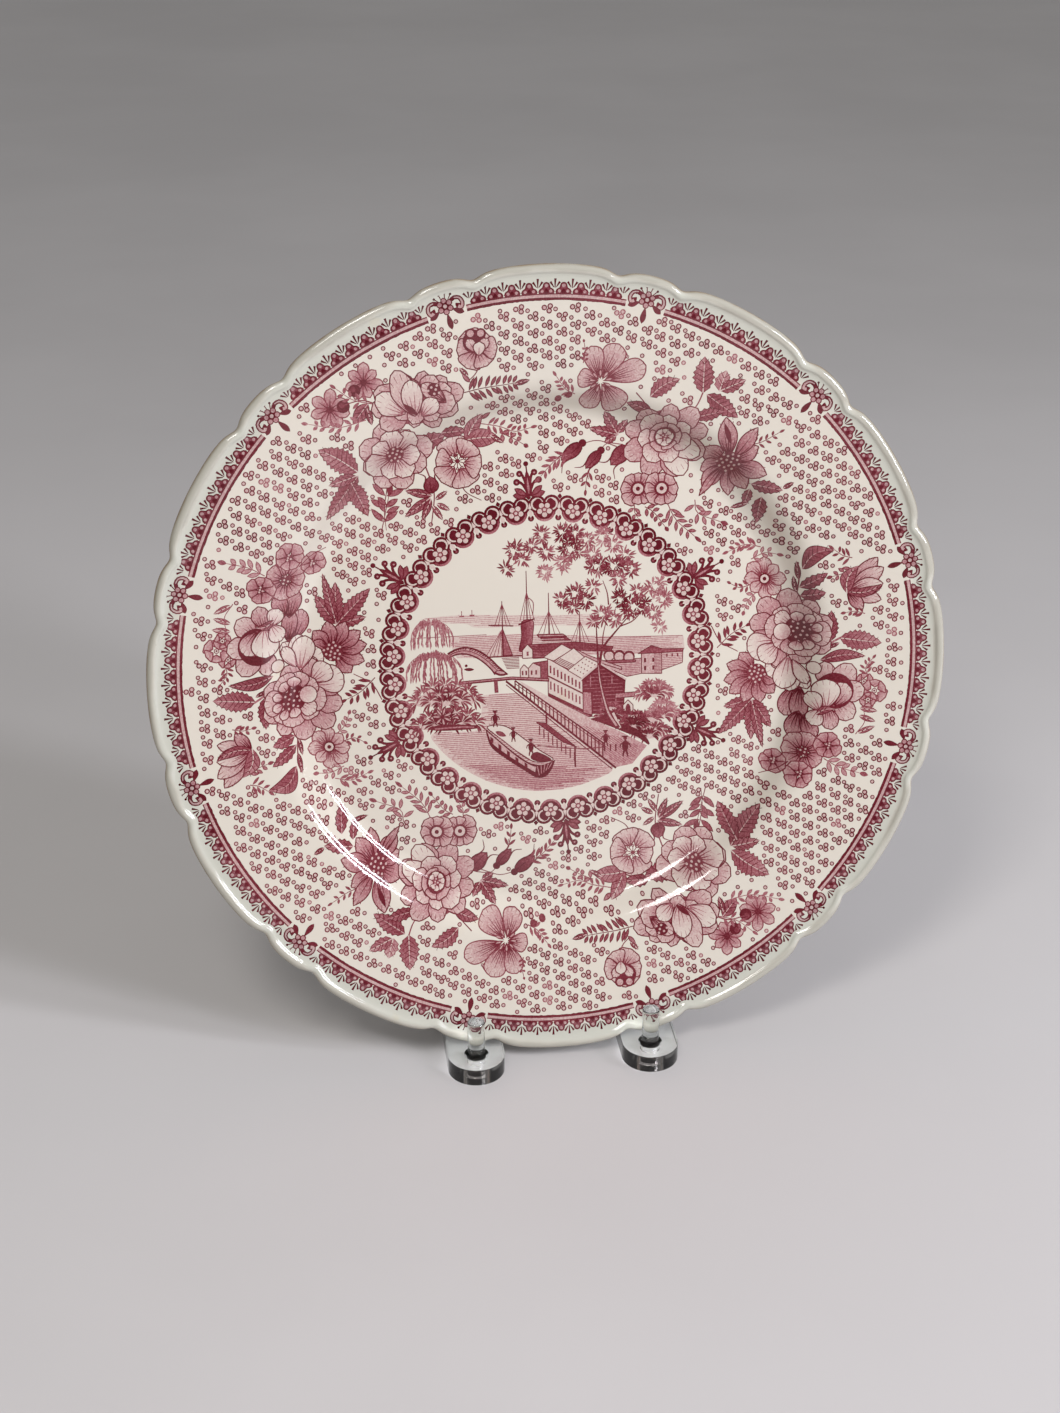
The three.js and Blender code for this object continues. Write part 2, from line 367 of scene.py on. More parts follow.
def arc(radius, first, last):
    """Points about a millimetre apart round part of a circle."""
    count = max(2, math.ceil(abs(last - first) * math.pi / 180 * radius))
    return polar(radius, np.linspace(first, last, count + 1))


def band(inner, outer, first, last, ink):
    """A strip of ink between two radii."""
    art.fill(np.concatenate([arc(inner, first, last), arc(outer, last, first)]), ink)


LAPPETS_A_SIDE = 4  # lappets on each side of a lobe's middle one
LAPPET_STEP = 2.52
LAPPET_RADIUS = 120.5
BORDER_LINE = 119.1
THICK_LINE_IN = 0.4  # how far the border's thick line reaches in from BORDER_LINE, with a rough edge
THICK_LINE_OUT = 0.38  # and how far out, to the pale gap
THIN_LINE = (1.25, 1.62)  # the thin line beyond the gap
ROUGHNESS = 0.2
ROUGH_POINTS = 64
CLIP_RADIUS = 121.9
SCROLL_START = 3.0  # degrees from a clip where the border's lines end


def lappet(degrees):
    """One scallop of the border: a three-part crown with pale dots and a dark heart."""
    at = outward(LAPPET_RADIUS, degrees)
    half = [-2.3 + 0j, -2.2 + 1.5j, -1.35 + 2.0j, -0.95 + 3.3j]
    crown = loop(at(*half, 0 + 3.75j, *(-p.conjugate() for p in half[::-1])), 0.8)
    art.fill(crown, EDGE_INK)
    art.shade(inset(crown, 0.42), at(0 + 0.9j), at(0 + 3.4j), 0.72, 0.5)
    for x, y, size in ((-1.32, 0.95, 0.5), (1.32, 0.95, 0.5), (0, 2.62, 0.56)):
        dot(at(complex(x, y)), size, 8, 0.2)
    art.fill(loop(at(-0.75 + 0.5j, 0 + 1.75j, 0.75 + 0.5j, 0 + 0.2j), 0.7), DARK)


def tick_spray(degrees):
    """Three short ticks that spread outwards between two lappets."""
    at = outward(LAPPET_RADIUS, degrees)
    draw(1.0, at(0 + 1.9j, 0 + 3.4j, 0.05 + 4.8j), 0.24, 0.78)
    for side in (-1, 1):
        draw(1.0, at(side * 0.35 + 2.1j, side * 0.9 + 2.9j, side * 1.5 + 3.8j), 0.22, 0.74)


def clip(degrees):
    """A small flower with pins outside it, three leaves inside it and a scroll at each side."""
    at = outward(CLIP_RADIUS, degrees)
    for lean in (-68, -38, -12, 16, 42, 70):
        away = 1j * unit(lean)
        draw(EDGE_INK, at(away * 2.0, away * 4.0), 0.28, 0.34)
        dot(at(away * 4.1), 0.42, 7, 1.2)
    for lean, length in ((-62, 4.4), (2, 5.6), (58, 4.4)):
        away = -1j * unit(lean)
        art.fill(blade(*at(away * 1.9, away * (1.9 + length)), 1.9, 1.5, 0.8), 0.92)
    for side in (-1, 1):
        hook = at(
            side * 1.9 + 1.2j, side * 3.3 + 1.9j, side * 4.9 + 1.4j, side * 5.5 - 0.2j, side * 4.9 - 1.5j,
            side * 4.0 - 1.0j, side * 4.2 - 0.1j,
        )
        draw(EDGE_INK, hook, 1.2, 1.7)
        draw(0.16, hook[1:-1], 0.3, 1.0)
    for k in range(6):
        petal = at(1.75 * unit(60 * k + 30))
        dot(petal, 1.02, 10, EDGE_INK)
        dot(petal, 0.68, 9, 0.24)
    dot(at(0j), 1.12, 12, DARK)
    dot(at(0j), 0.62, 10, 0.12)


def draw_border():
    """In each lobe two lines, lappets and ticks, and at each notch pair a clip."""
    step = 360 / LOBES
    for k in range(LOBES):
        middle = FIRST_SMALL_LOBE + step * (k + 0.5)
        reach = step / 2 - SCROLL_START
        first, last = middle - reach, middle + reach
        gap = BORDER_LINE + THICK_LINE_OUT
        band(BORDER_LINE + THIN_LINE[0], BORDER_LINE + THIN_LINE[1], first, last, 0.75)
        band(gap, BORDER_LINE + THIN_LINE[0], first, last, 0.16)
        rough = BORDER_LINE - THICK_LINE_IN - ROUGHNESS * rng.random(ROUGH_POINTS)
        inside = polar(rough, np.linspace(first, last, ROUGH_POINTS))
        art.fill(np.concatenate([inside, arc(gap, last, first)]), 0.9)
        for i in range(-LAPPETS_A_SIDE, LAPPETS_A_SIDE + 1):
            lappet(middle + i * LAPPET_STEP)
        for i in range(-LAPPETS_A_SIDE - 1, LAPPETS_A_SIDE + 1):
            tick_spray(middle + (i + 0.5) * LAPPET_STEP)
        clip(FIRST_SMALL_LOBE + step * k)


GROUND_INNER = 57.0
GROUND_OUTER = 117.6
COLUMN_STEP = 4.5
ROW_STEP = 5.05
GROUND_SHIFT = 0.4  # of the middle column to the right
GROUND_MARGIN = 1.9  # how far a trefoil stays from a flower or leaf
SINGLE_MARGIN = 0.8  # and a single ring
SINGLE_OFFSET = 2.85 - 0.45j  # from a trefoil to the single ring beside it
WANDER = 0.16  # how unevenly the pattern is placed and turned
TREFOIL_REACH = 1.02
TREFOIL_ANGLES = (178, 42, -52)
TREFOIL_RING = (0.89, 0.49)  # outer and inner radius
SINGLE_RING = (0.74, 0.42)
RING_SIDES = 8
RING_SWELL = 1.05  # makes up for the corners that so few sides cut off
INK_RANGE = (0.74, 0.95)
FAINT_SHARE = 0.05
FAINT_INK = 0.45
ground = Print()


def ground_ring(at, radius, ink):
    """A round of the ground pattern."""
    ground.fill(disc(at, radius * RING_SWELL, RING_SIDES), ink)


def draw_ground():
    """Trefoils of rings in staggered columns, with a single ring beside each, clear of the flowers."""
    columns = int(GROUND_OUTER / COLUMN_STEP) + 1
    rows = int(GROUND_OUTER / ROW_STEP) + 1
    places = []
    for i in range(-columns, columns + 1):
        for j in range(-rows, rows + 1):
            at = complex(COLUMN_STEP * i + GROUND_SHIFT, ROW_STEP * (j + 0.5 * (i % 2)))
            places += [(at, False), (at + SINGLE_OFFSET, True)]
    spots = np.array([p for p, _ in places])
    spots += rng.normal(0, WANDER, len(spots)) + 1j * rng.normal(0, WANDER, len(spots))
    singles = np.array([s for _, s in places])
    free = (np.abs(spots) > GROUND_INNER) & (np.abs(spots) < GROUND_OUTER)
    margins = np.where(singles, SINGLE_MARGIN, GROUND_MARGIN)
    for k in range(9):
        shift = margins * np.exp(0.25j * math.pi * k) if k < 8 else 0
        free &= topmost(spots + shift, art.outlines) < 0
    for spot, single in zip(spots[free], singles[free]):
        ink = FAINT_INK if rng.random() < FAINT_SHARE else rng.uniform(*INK_RANGE)
        turn = np.exp(1j * rng.normal(0, WANDER))
        if single:
            ground_ring(spot, SINGLE_RING[0], ink)
            ground_ring(spot, SINGLE_RING[1], 0.12)
            continue
        rings = [spot + TREFOIL_REACH * turn * unit(a) for a in TREFOIL_ANGLES]
        for ring in rings:
            ground_ring(ring, TREFOIL_RING[0], ink)
        for ring in rings:
            ground_ring(ring, TREFOIL_RING[1], 0.13)


UNITS = 34  # flowers round the medallion band
FLOWER_RADIUS = 50.9
PALMETTE_RADIUS = 55.4
PALMETTES = (95, 28, -27, -85, -154, 148)  # where they stand round the band


def medallion_unit(degrees):
    """A round flower under two arches."""
    at = outward(FLOWER_RADIUS, degrees)
    art.shade(disc(at(-0.2j), 3.7, 20), at(-1.6j), at(-3.9j), 0.6, 0.3)
    for side in (-1, 1):
        dot(at(side * 2.35 + 2.0j), 2.85, 16, DARK)
    dot(at(-0.1j), 3.0, 18, DARK)
    for side in (-1, 1):
        dot(at(side * 2.35 + 1.9j), 2.1, 14, 0.06)
        dot(at(side * 2.3 + 1.8j), 1.55, 12, DARK)
        arch = at(
            side * 0.7 + 0.8j, side * 0.9 + 3.0j, side * 2.1 + 3.75j, side * 3.2 + 2.7j, side * 2.4 + 0.6j,
        )
        art.fill(loop(arch, 0.8), DARK)
    dot(at(-0.1j), 2.75, 18, 0.94)
    for k in range(5):
        petal = at(1.62 * unit(72 * k - 90))
        dot(petal, 0.86, 9, 0.08)
    dot(at(0j), 1.0, 10, 0.62)
    dot(at(0j), 0.52, 8, 0.1)


def medallion_drop(degrees):
    """A pale drop with a curl on each side, between two flowers."""
    at = outward(FLOWER_RADIUS, degrees)
    dot(at(-2.5j), 1.05, 10, DARK)
    art.fill(blade(*at(2.6j, -2.3j), 1.5, 1.4, 0.8), 0.06)
    for side in (-1, 1):
        draw(0.9, at(side * 0.25 + 0.6j, side * 1.1 - 0.4j, side * 1.15 - 1.5j), 0.5, 0.25)
    dot(at(-2.75j), 0.4, 7, 0.5)
    art.fill(at(-0.8 + 4.4j, 0 + 3.5j, 0.8 + 4.4j, 0 + 5.4j), DARK)


def palmette(degrees):
    """A spray of leaves and round-headed stalks that stands outside the band."""
    at = outward(PALMETTE_RADIUS, degrees)
    for side in (-1, 1):
        for x, y, width in ((5.4, 1.2, 2.4), (4.6, 3.4, 2.2)):
            leaf = blade(*at(side * 0.4 + 0.2j, side * x + y * 1j), width, 1.2, 0.8)
            art.fill(leaf, 0.88)
            art.fill(inset(leaf, 0.4), 0.6)
    for side in (-1, 1):
        for x, y, top in ((3.6, 5.6, 1.15), (2.4, 8.2, 1.1)):
            draw(0.94, at(0.5j, side * x * 0.45 + y * 0.75j, side * x * 0.9 + y * 1j), 0.9, 0.9)
            dot(at(side * x + (y - 0.3) * 1j), top, 9, 0.94)
            dot(at(side * x + (y - 0.4) * 1j), 0.35, 6, 0.3)
    art.fill(blade(*at(-0.4j, 9.0j), 2.6, 0.8, 0.9), 0.9)
    art.fill(blade(*at(1.0j, 6.5j), 0.7, 0.8, 0.9), 0.35)
    draw(DARK, at(8.0j, 10.4j), 0.45)
    dot(at(10.9j), 0.85, 9, DARK)


def draw_medallion():
    """The band of flowers round the view, and the palmettes outside it."""
    step = 360 / UNITS
    for k in range(UNITS):
        medallion_unit(90 + step * k)
    for k in range(UNITS):
        medallion_drop(90 + step * (k + 0.5))
    for degrees in PALMETTES:
        palmette(degrees)


# ---- Flowers and leaves ----

GOLDEN = 2.4  # radians from one dot to the next that spread dots evenly over a disc
PETAL_FRILL = 1.25  # how much deeper the waves are drawn than a flower's frill says
PETAL_UNEVENNESS = 0.06
PETAL_SHADE = (0.78, 0.3, 0.62)  # shares of the ink at its base and tip, and how fast it fades
WIDE_PETAL = 5  # from this width a petal has two more lines
LONG_PETAL = 5.5  # from this length it has lines in from its rim
GAP_REACH = 0.78  # the dark patch behind frilled petals, as a share of their reach
GAP_INK = 0.62
FRILLED_WIDTH = 0.86  # they are narrower, so the patch shows between them
WIDEST_HALF_ANGLE = 0.75
RIM_LINES = (-0.55, -0.2, 0.2, 0.55)
LEAF_EDGE = 0.12  # added to a leaf's ink for its drawn edge
LEAF_BASE = 0.78  # shares of its ink at its base and tip
LEAF_TIP = 0.66
LEAF_LEAST = 0.16
LEAF_SHAPE = 0.85  # under 1, so a leaf is fullest nearer its base and has round shoulders
TOOTH_DEPTH = 0.22
VEIN_SPACING = 1.9
STEM_WIDTH = 0.34


def away_from(at, radius, degrees, flat=1.0, axis=0.0):
    """A point of an ellipse round at, squeezed to flat across its axis."""
    a = math.radians(degrees)
    return at + radius * complex(math.cos(a), flat * math.sin(a)) * unit(axis)


def petal(
    base, tip, width, near_ink, far_ink, full=1.7, blunt=0.55, frill=0.0, waves=4, veins=3, edge=0.4,
    line=EDGE_INK,
):
    """A petal with a drawn edge, darker at its base, with engraved lines from its base and from its tip."""
    length = abs(tip - base)
    outline = blade(base, tip, width, full, blunt, max(7, round(length / 0.7)))
    if frill:
        outline = frilled(outline, base, waves, frill * PETAL_FRILL)
    art.fill(outline, line)
    at_base, at_tip, fade = PETAL_SHADE
    art.shade(inset(outline, edge), base, tip, near_ink * at_base, far_ink * at_tip, fade)
    side = 1j * (tip - base) / length
    lines = veins + (2 if width > WIDE_PETAL and veins > 1 else 0)
    # Lines that fan out from the base, the middle ones longest.
    for k in range(lines):
        lean = (k - (lines - 1) / 2) / (lines - 1) if lines > 1 else 0.0
        reach = 0.6 - 0.3 * abs(lean) + 0.1 * (k % 2)
        start = base + (tip - base) * 0.08 + side * lean * width * 0.12
        end = base + (tip - base) * reach + side * lean * width * 0.66
        middle = (start + end) / 2 + side * lean * width * 0.08
        draw(min(1.0, near_ink + 0.2), [start, middle, end], 0.44, 0.1, 1.5)
    # Short lines in from the rim.
    if length > LONG_PETAL and veins > 1:
        for lean in RIM_LINES:
            rim = base + (tip - base) * (0.93 - 0.22 * lean * lean) + side * lean * width * 0.6
            draw(min(1.0, far_ink + 0.3), [rim, rim + (base - rim) * 0.16], 0.26, 0.1, 2.0)


def rosette(at, radius, count, inks, turn=90.0, width=1.0, start=0.12, flat=1.0, axis=0.0, **kind):
    """Petals round a point, with inks at their bases and tips; frilled ones have dark gaps between them."""
    if kind.get("frill"):
        behind = [away_from(at, radius * GAP_REACH, a, flat, axis) for a in range(0, 360, 24)]
        art.fill(np.array(behind), GAP_INK)
        width *= FRILLED_WIDTH
    for k in range(count):
        degrees = turn + 360 * k / count + rng.normal(0, 3)
        reach = radius * (1 + rng.normal(0, PETAL_UNEVENNESS))
        tip = away_from(at, reach, degrees, flat, axis)
        base = away_from(at, reach * start, degrees, flat, axis)
        across = 2 * abs(tip - at) * math.tan(min(math.pi / count, WIDEST_HALF_ANGLE)) * width
        petal(base, tip, across, *inks, **kind)


def dotted_heart(at, radius, count, ground, head=0.14, size=0.42):
    """A dark stippled middle with pale anthers."""
    dot(at, radius, 16, ground)
    for k in range(count):
        spot = at + radius * 0.95 * math.sqrt((k + 0.5) / count) * np.exp(1j * GOLDEN * k)
        dot(spot, size, 7, head)


def ring_heart(at, radius):
    """A dark ring with a dot in it."""
    dot(at, radius, 14, 0.92)
    dot(at, radius * 0.72, 12, 0.08)
    dot(at, radius * 0.34, 8, DARK)


def stamen_heart(at, radius, count, ink):
    """Radiating filaments with small heads."""
    for k in range(count):
        out = np.exp(1j * (2 * math.pi * k / count + 0.3))
        draw(ink, [at + out * radius * 0.2, at + out * radius], 0.26, 0.3, 1.5)
        dot(at + out * radius, 0.52, 8, ink)
        dot(at + out * radius, 0.26, 6, 0.1)
    dot(at, radius * 0.3, 8, ink)


def leaf(base, tip, width, ink=0.86, teeth=0, bend=0.0):
    """A leaf with a pale midrib, dark side veins and one half lighter than the other."""
    length = abs(tip - base)
    count = max(9, 2 * teeth + 1, round(length / 0.8))
    t = np.linspace(0.0, 1.0, count)
    saw = 1 - TOOTH_DEPTH * (np.arange(count) % 2) * (teeth > 0)
    half = width / 2 * np.sin(np.pi * t**LEAF_SHAPE) ** LEAF_SHAPE * saw
    run = tip - base
    side = 1j * run / length
    spine = base + run * t + side * bend * np.sin(np.pi * t)
    outline = np.concatenate([(spine - side * half)[:-1], (spine + side * half)[:0:-1]])
    art.fill(outline, min(1.0, ink + LEAF_EDGE))
    # The half on the left of the midrib is paler.
    for sign, lift in ((-1, 0.0), (1, 0.2)):
        inner = spine + sign * side * np.maximum(half - 0.3, 0.06)
        half_leaf = np.concatenate([spine, inner[::-1]])
        art.shade(half_leaf, base, tip, ink * LEAF_BASE, max(LEAF_LEAST, (ink - 0.15 - lift) * LEAF_TIP))
    if length > 4:
        draw(max(0.05, ink - 0.7), spine[:: max(1, count // 4)], 0.34, 0.14, 1.4)
        veins = max(3, round(length / VEIN_SPACING))
        for k in range(1, veins):
            i = round(k * (count - 1) / (veins + 0.6))
            for sign in (-1, 1):
                end = spine[min(i + 1, count - 1)] + run / length * 0.9 + sign * side * half[i] * 0.8
                draw(min(1.0, ink + 0.16), [spine[i], end], 0.3, 0.14, 2.0)


def leaves(*rows, **kind):
    """Leaves, each given as base x, base y, tip x, tip y and width."""
    for bx, by, tx, ty, width in rows:
        leaf(complex(bx, by), complex(tx, ty), width, **kind)


def sprig(points, count, length, width, ink, lean=50.0, first=0.15, tip=True):
    """A stem with pairs of small leaves that lean forward along it."""
    line = curve(points, 0.8)
    along = heading(line)
    draw(ink, points, STEM_WIDTH, STEM_WIDTH * 0.6, 1.4)
    for k in range(count):
        i = int((first + (1 - first) * k / count) * (len(line) - 1))
        size = length * (1 - 0.45 * k / count)
        for sign in (-1, 1):
            out = along[i] * np.exp(1j * sign * math.radians(lean + rng.normal(0, 6)))
            outline = blade(line[i] + out * 0.2, line[i] + out * size, width, 1.0, 0.8, 6)
            art.fill(outline, ink)
            if width > 1.2:
                art.fill(inset(outline, 0.3), ink - 0.28)
    if tip:
        art.fill(blade(line[-1], line[-1] + along[-1] * length * 0.7, width, 1.0, 0.8, 6), ink)


def stem(*points, width=0.4, ink=0.75):
    """A line through points given as x and y, thinner at its end."""
    draw(ink, [complex(x, y) for x, y in points], width, width * 0.7)


def bud(base, tip, width, ink):
    """A closed bud with a paler side and two bracts that curl at its mouth."""
    run = tip - base
    side = 1j * run / abs(run)
    art.fill(blade(base, tip, width, 0.85, 0.7, 9), min(1.0, ink + 0.1))
    art.shade(inset(blade(base, tip, width * 0.9, 0.85, 0.7, 9), 0.25), base, tip, ink, ink - 0.35)
    draw(0.98, [base, base + run * 0.5 + side * 0.3, tip], 0.3, 0.14)
    for sign in (-1, 1):
        flick = [
            base + run * 0.6 + side * sign * width * 0.35, tip + side * sign * width * 0.3,
            tip + run * 0.25 + side * sign * width * 0.75,
        ]
        draw(ink, flick, 0.6, 0.2)


# ---- The three bouquets, each printed again half a turn round ----


def rose_bud():
    """The half-open rose at the top of the first bouquet."""
    at = -21.8 + 104.4j
    rosette(at, 6.6, 6, (0.62, 0.2), turn=60, width=1.0, flat=0.95, start=0.1)
    dot(at + 2.2j - 0.8, 3.7, 16, 0.9)
    for x in (-3.2, 3.6):
        petal(at - 1.5j, at + x + 3.2j, 3.6, 0.45, 0.16, full=1.5)
    for x in (-2.0, 1.2):
        dot(at + x + 4.6j, 1.75, 12, EDGE_INK)
        dot(at + x + 4.7j, 1.1, 10, 0.18)
    petal(at - 2.6j + 0.6, at + 2.4j + 0.8, 4.2, 0.2, 0.04, full=1.3, veins=1)
    stem((-21.2, 98.4), (-22.5, 96.2), (-24.6, 94.2))
    leaves((-24.6, 95.6, -27.4, 98.6, 1.8), (-24.0, 93.8, -26.6, 96.6, 1.6), ink=0.7)


def bouquet_a():
    """The upper left bouquet: a large rose, an open flower and a small round one, from the back forwards."""
    rose_bud()
    sprig([-26 + 90.6j, -20 + 91.8j, -13 + 92.6j, -8.6 + 93.2j], 9, 5.0, 1.25, 0.88, lean=58, first=0.1)
    leaf(-10 + 92.6j, -5 + 93.9j, 1.9, ink=0.88)
    for at, size in ((-57.5 + 95.2j, 6.0), (-68.2 + 87.2j, 6.4)):
        rosette(at, size, 7, (0.72, 0.34), width=0.62, full=1.3, start=0.08, line=0.6, veins=1)
        dot(at, 1.1, 9, 0.85)
    for x, y, size in ((-60.4, 92.8, 2.0), (-64.0, 88.0, 2.1)):
        dot(complex(x, y), size, 12, 0.92)
        dot(complex(x - 0.4, y + 0.4), size * 0.45, 8, 0.7)
    leaves((-56.2, 88.6, -61.2, 82.2, 4.6), (-56.6, 87.0, -55.2, 81.6, 2.4), ink=0.84)
    sprig([-55 + 88.4j, -61 + 90j, -66 + 93.6j], 4, 3.6, 1.1, 0.5)
    sprig([-57 + 83.4j, -66 + 81.4j, -75 + 83j], 6, 3.4, 1.2, 0.4)
    stem((-52, 87.5), (-58, 89.6), (-64, 88.4), width=0.5, ink=0.6)
    leaves((-60, 66.6, -72.4, 74.8, 8.4), ink=0.72, teeth=9, bend=-0.6)
    leaves((-60, 65.4, -70.6, 51.4, 6.6), (-62.4, 63.4, -57.0, 51.2, 6.4), ink=0.86, teeth=9)
    leaves((-60.5, 65.4, -69.6, 63.0, 4.6), ink=0.8, teeth=6)
    leaves((-41, 73.4, -31.4, 76.4, 6.6), (-33, 77.2, -24.6, 77.6, 4.6), ink=0.88, teeth=5)
    leaves((-24.8, 74.0, -19.6, 83.2, 4.8), (-25, 74.4, -14.0, 74.6, 6.2), ink=0.68, bend=0.5)
    leaves((-17.0, 75.6, -12.6, 73.0, 1.8), (-20, 81.2, -17.0, 83.4, 1.6), ink=0.7)
    sprig([-20 + 79.6j, -14 + 78.4j, -9 + 76.6j, -4 + 77.6j], 7, 3.4, 1.1, 0.5, lean=60)
    sprig([-14 + 76.4j, -10 + 74.6j, -6.4 + 72.4j], 3, 2.8, 1.5, 0.62)
    sprig([-50.6 + 60.4j, -51.8 + 53j, -51.4 + 46.4j], 3, 6.2, 2.1, 0.8, lean=120, first=0.25, tip=False)
    sprig([-53 + 46j, -51.5 + 52j, -50.2 + 57.4j], 3, 6.0, 1.9, 0.78, lean=48, first=0.3)
    stem((-38.8, 68.4), (-36.6, 62.0), (-35.6, 56.8), (-36.8, 47.6), width=0.5, ink=0.7)
    leaves(
        (-36.2, 57.0, -45.0, 59.0, 3.0), (-36.8, 56.4, -45.4, 50.4, 3.2), (-36.6, 56.0, -39.8, 49.0, 2.6),
        ink=0.84,
    )
    leaves(
        (-35.4, 55.6, -31.2, 58.4, 1.8), (-35.0, 54.4, -30.6, 52.0, 2.0), (-36.4, 54.0, -33.0, 48.8, 2.0),
        ink=0.66,
    )
    bud(-36.2 + 57.6j, -36.8 + 63.4j, 5.2, 0.84)
    stem((-27.0, 60.4), (-25.0, 57.4), (-20.4, 54.8), width=0.36, ink=0.8)
    # The open flower, the small round one and the large rose above them.
    rosette(-27.6 + 67.4j, 8.0, 6, (0.5, 0.16), turn=110, width=0.98, start=0.2)
    stamen_heart(-27.8 + 67.8j, 2.5, 10, 0.8)
    open_at = -48 + 70.8j
    rosette(open_at, 12.4, 8, (0.75, 0.3), turn=20, flat=0.92, frill=0.05, width=1.1)
    rosette(open_at, 8.6, 7, (0.5, 0.04), turn=50, flat=0.95, frill=0.07, width=1.15, veins=4)
    dotted_heart(open_at + 0.4j, 3.0, 12, 0.8)
    rose_at = -40.5 + 88.6j
    rosette(rose_at, 14.6, 10, (0.85, 0.34), turn=5, flat=0.66, axis=6, frill=0.06, width=1.1)
    rosette(rose_at + 1, 11.0, 8, (0.8, 0.22), turn=24, flat=0.7, axis=6, frill=0.05, width=1.1)
    petal(rose_at - 4 - 4j, rose_at - 13 + 2j, 8.4, 0.24, 0.05, full=1.4, frill=0.04)
    petal(rose_at - 1 - 5j, rose_at - 7 + 9.4j, 8.6, 0.3, 0.26, full=1.4, frill=0.04)
    petal(rose_at - 1 - 5j, rose_at - 2.6 + 7j, 7.2, 0.3, 0.02, full=1.2, veins=2)
    art.fill(blade(rose_at - 4.6 - 0.6j, rose_at - 0.2 - 4.6j, 1.7, 1.2, 0.9), 0.92)
    petal(rose_at + 9 - 1j, rose_at + 1 + 5.4j, 5.4, 0.7, 0.2, full=1.3)
    petal(rose_at + 1 - 5j, rose_at + 6 + 0.6j, 6.2, 0.3, 0.02, full=1.3, veins=2)
    dotted_heart(rose_at + 5 + 3.4j, 2.2, 6, 0.9)


def drooping_buds():
    """Three buds that hang from the second bouquet."""
    stem((24, 70.4), (18, 72.6), (12.6, 71.8), width=0.36, ink=0.7)
    stem((26, 71), (21, 71.6), (18.6, 69.4), width=0.36, ink=0.7)
    for base, tip, size in (
        (12.8 + 72j, 5.6 + 66.6j, 4.6), (18.8 + 69.4j, 13.6 + 63.6j, 4.0), (28 + 70.6j, 21.8 + 64.4j, 5.6),
    ):
        dot(base, 1.3, 10, 0.94)
        bud(base, tip, size, 0.88)


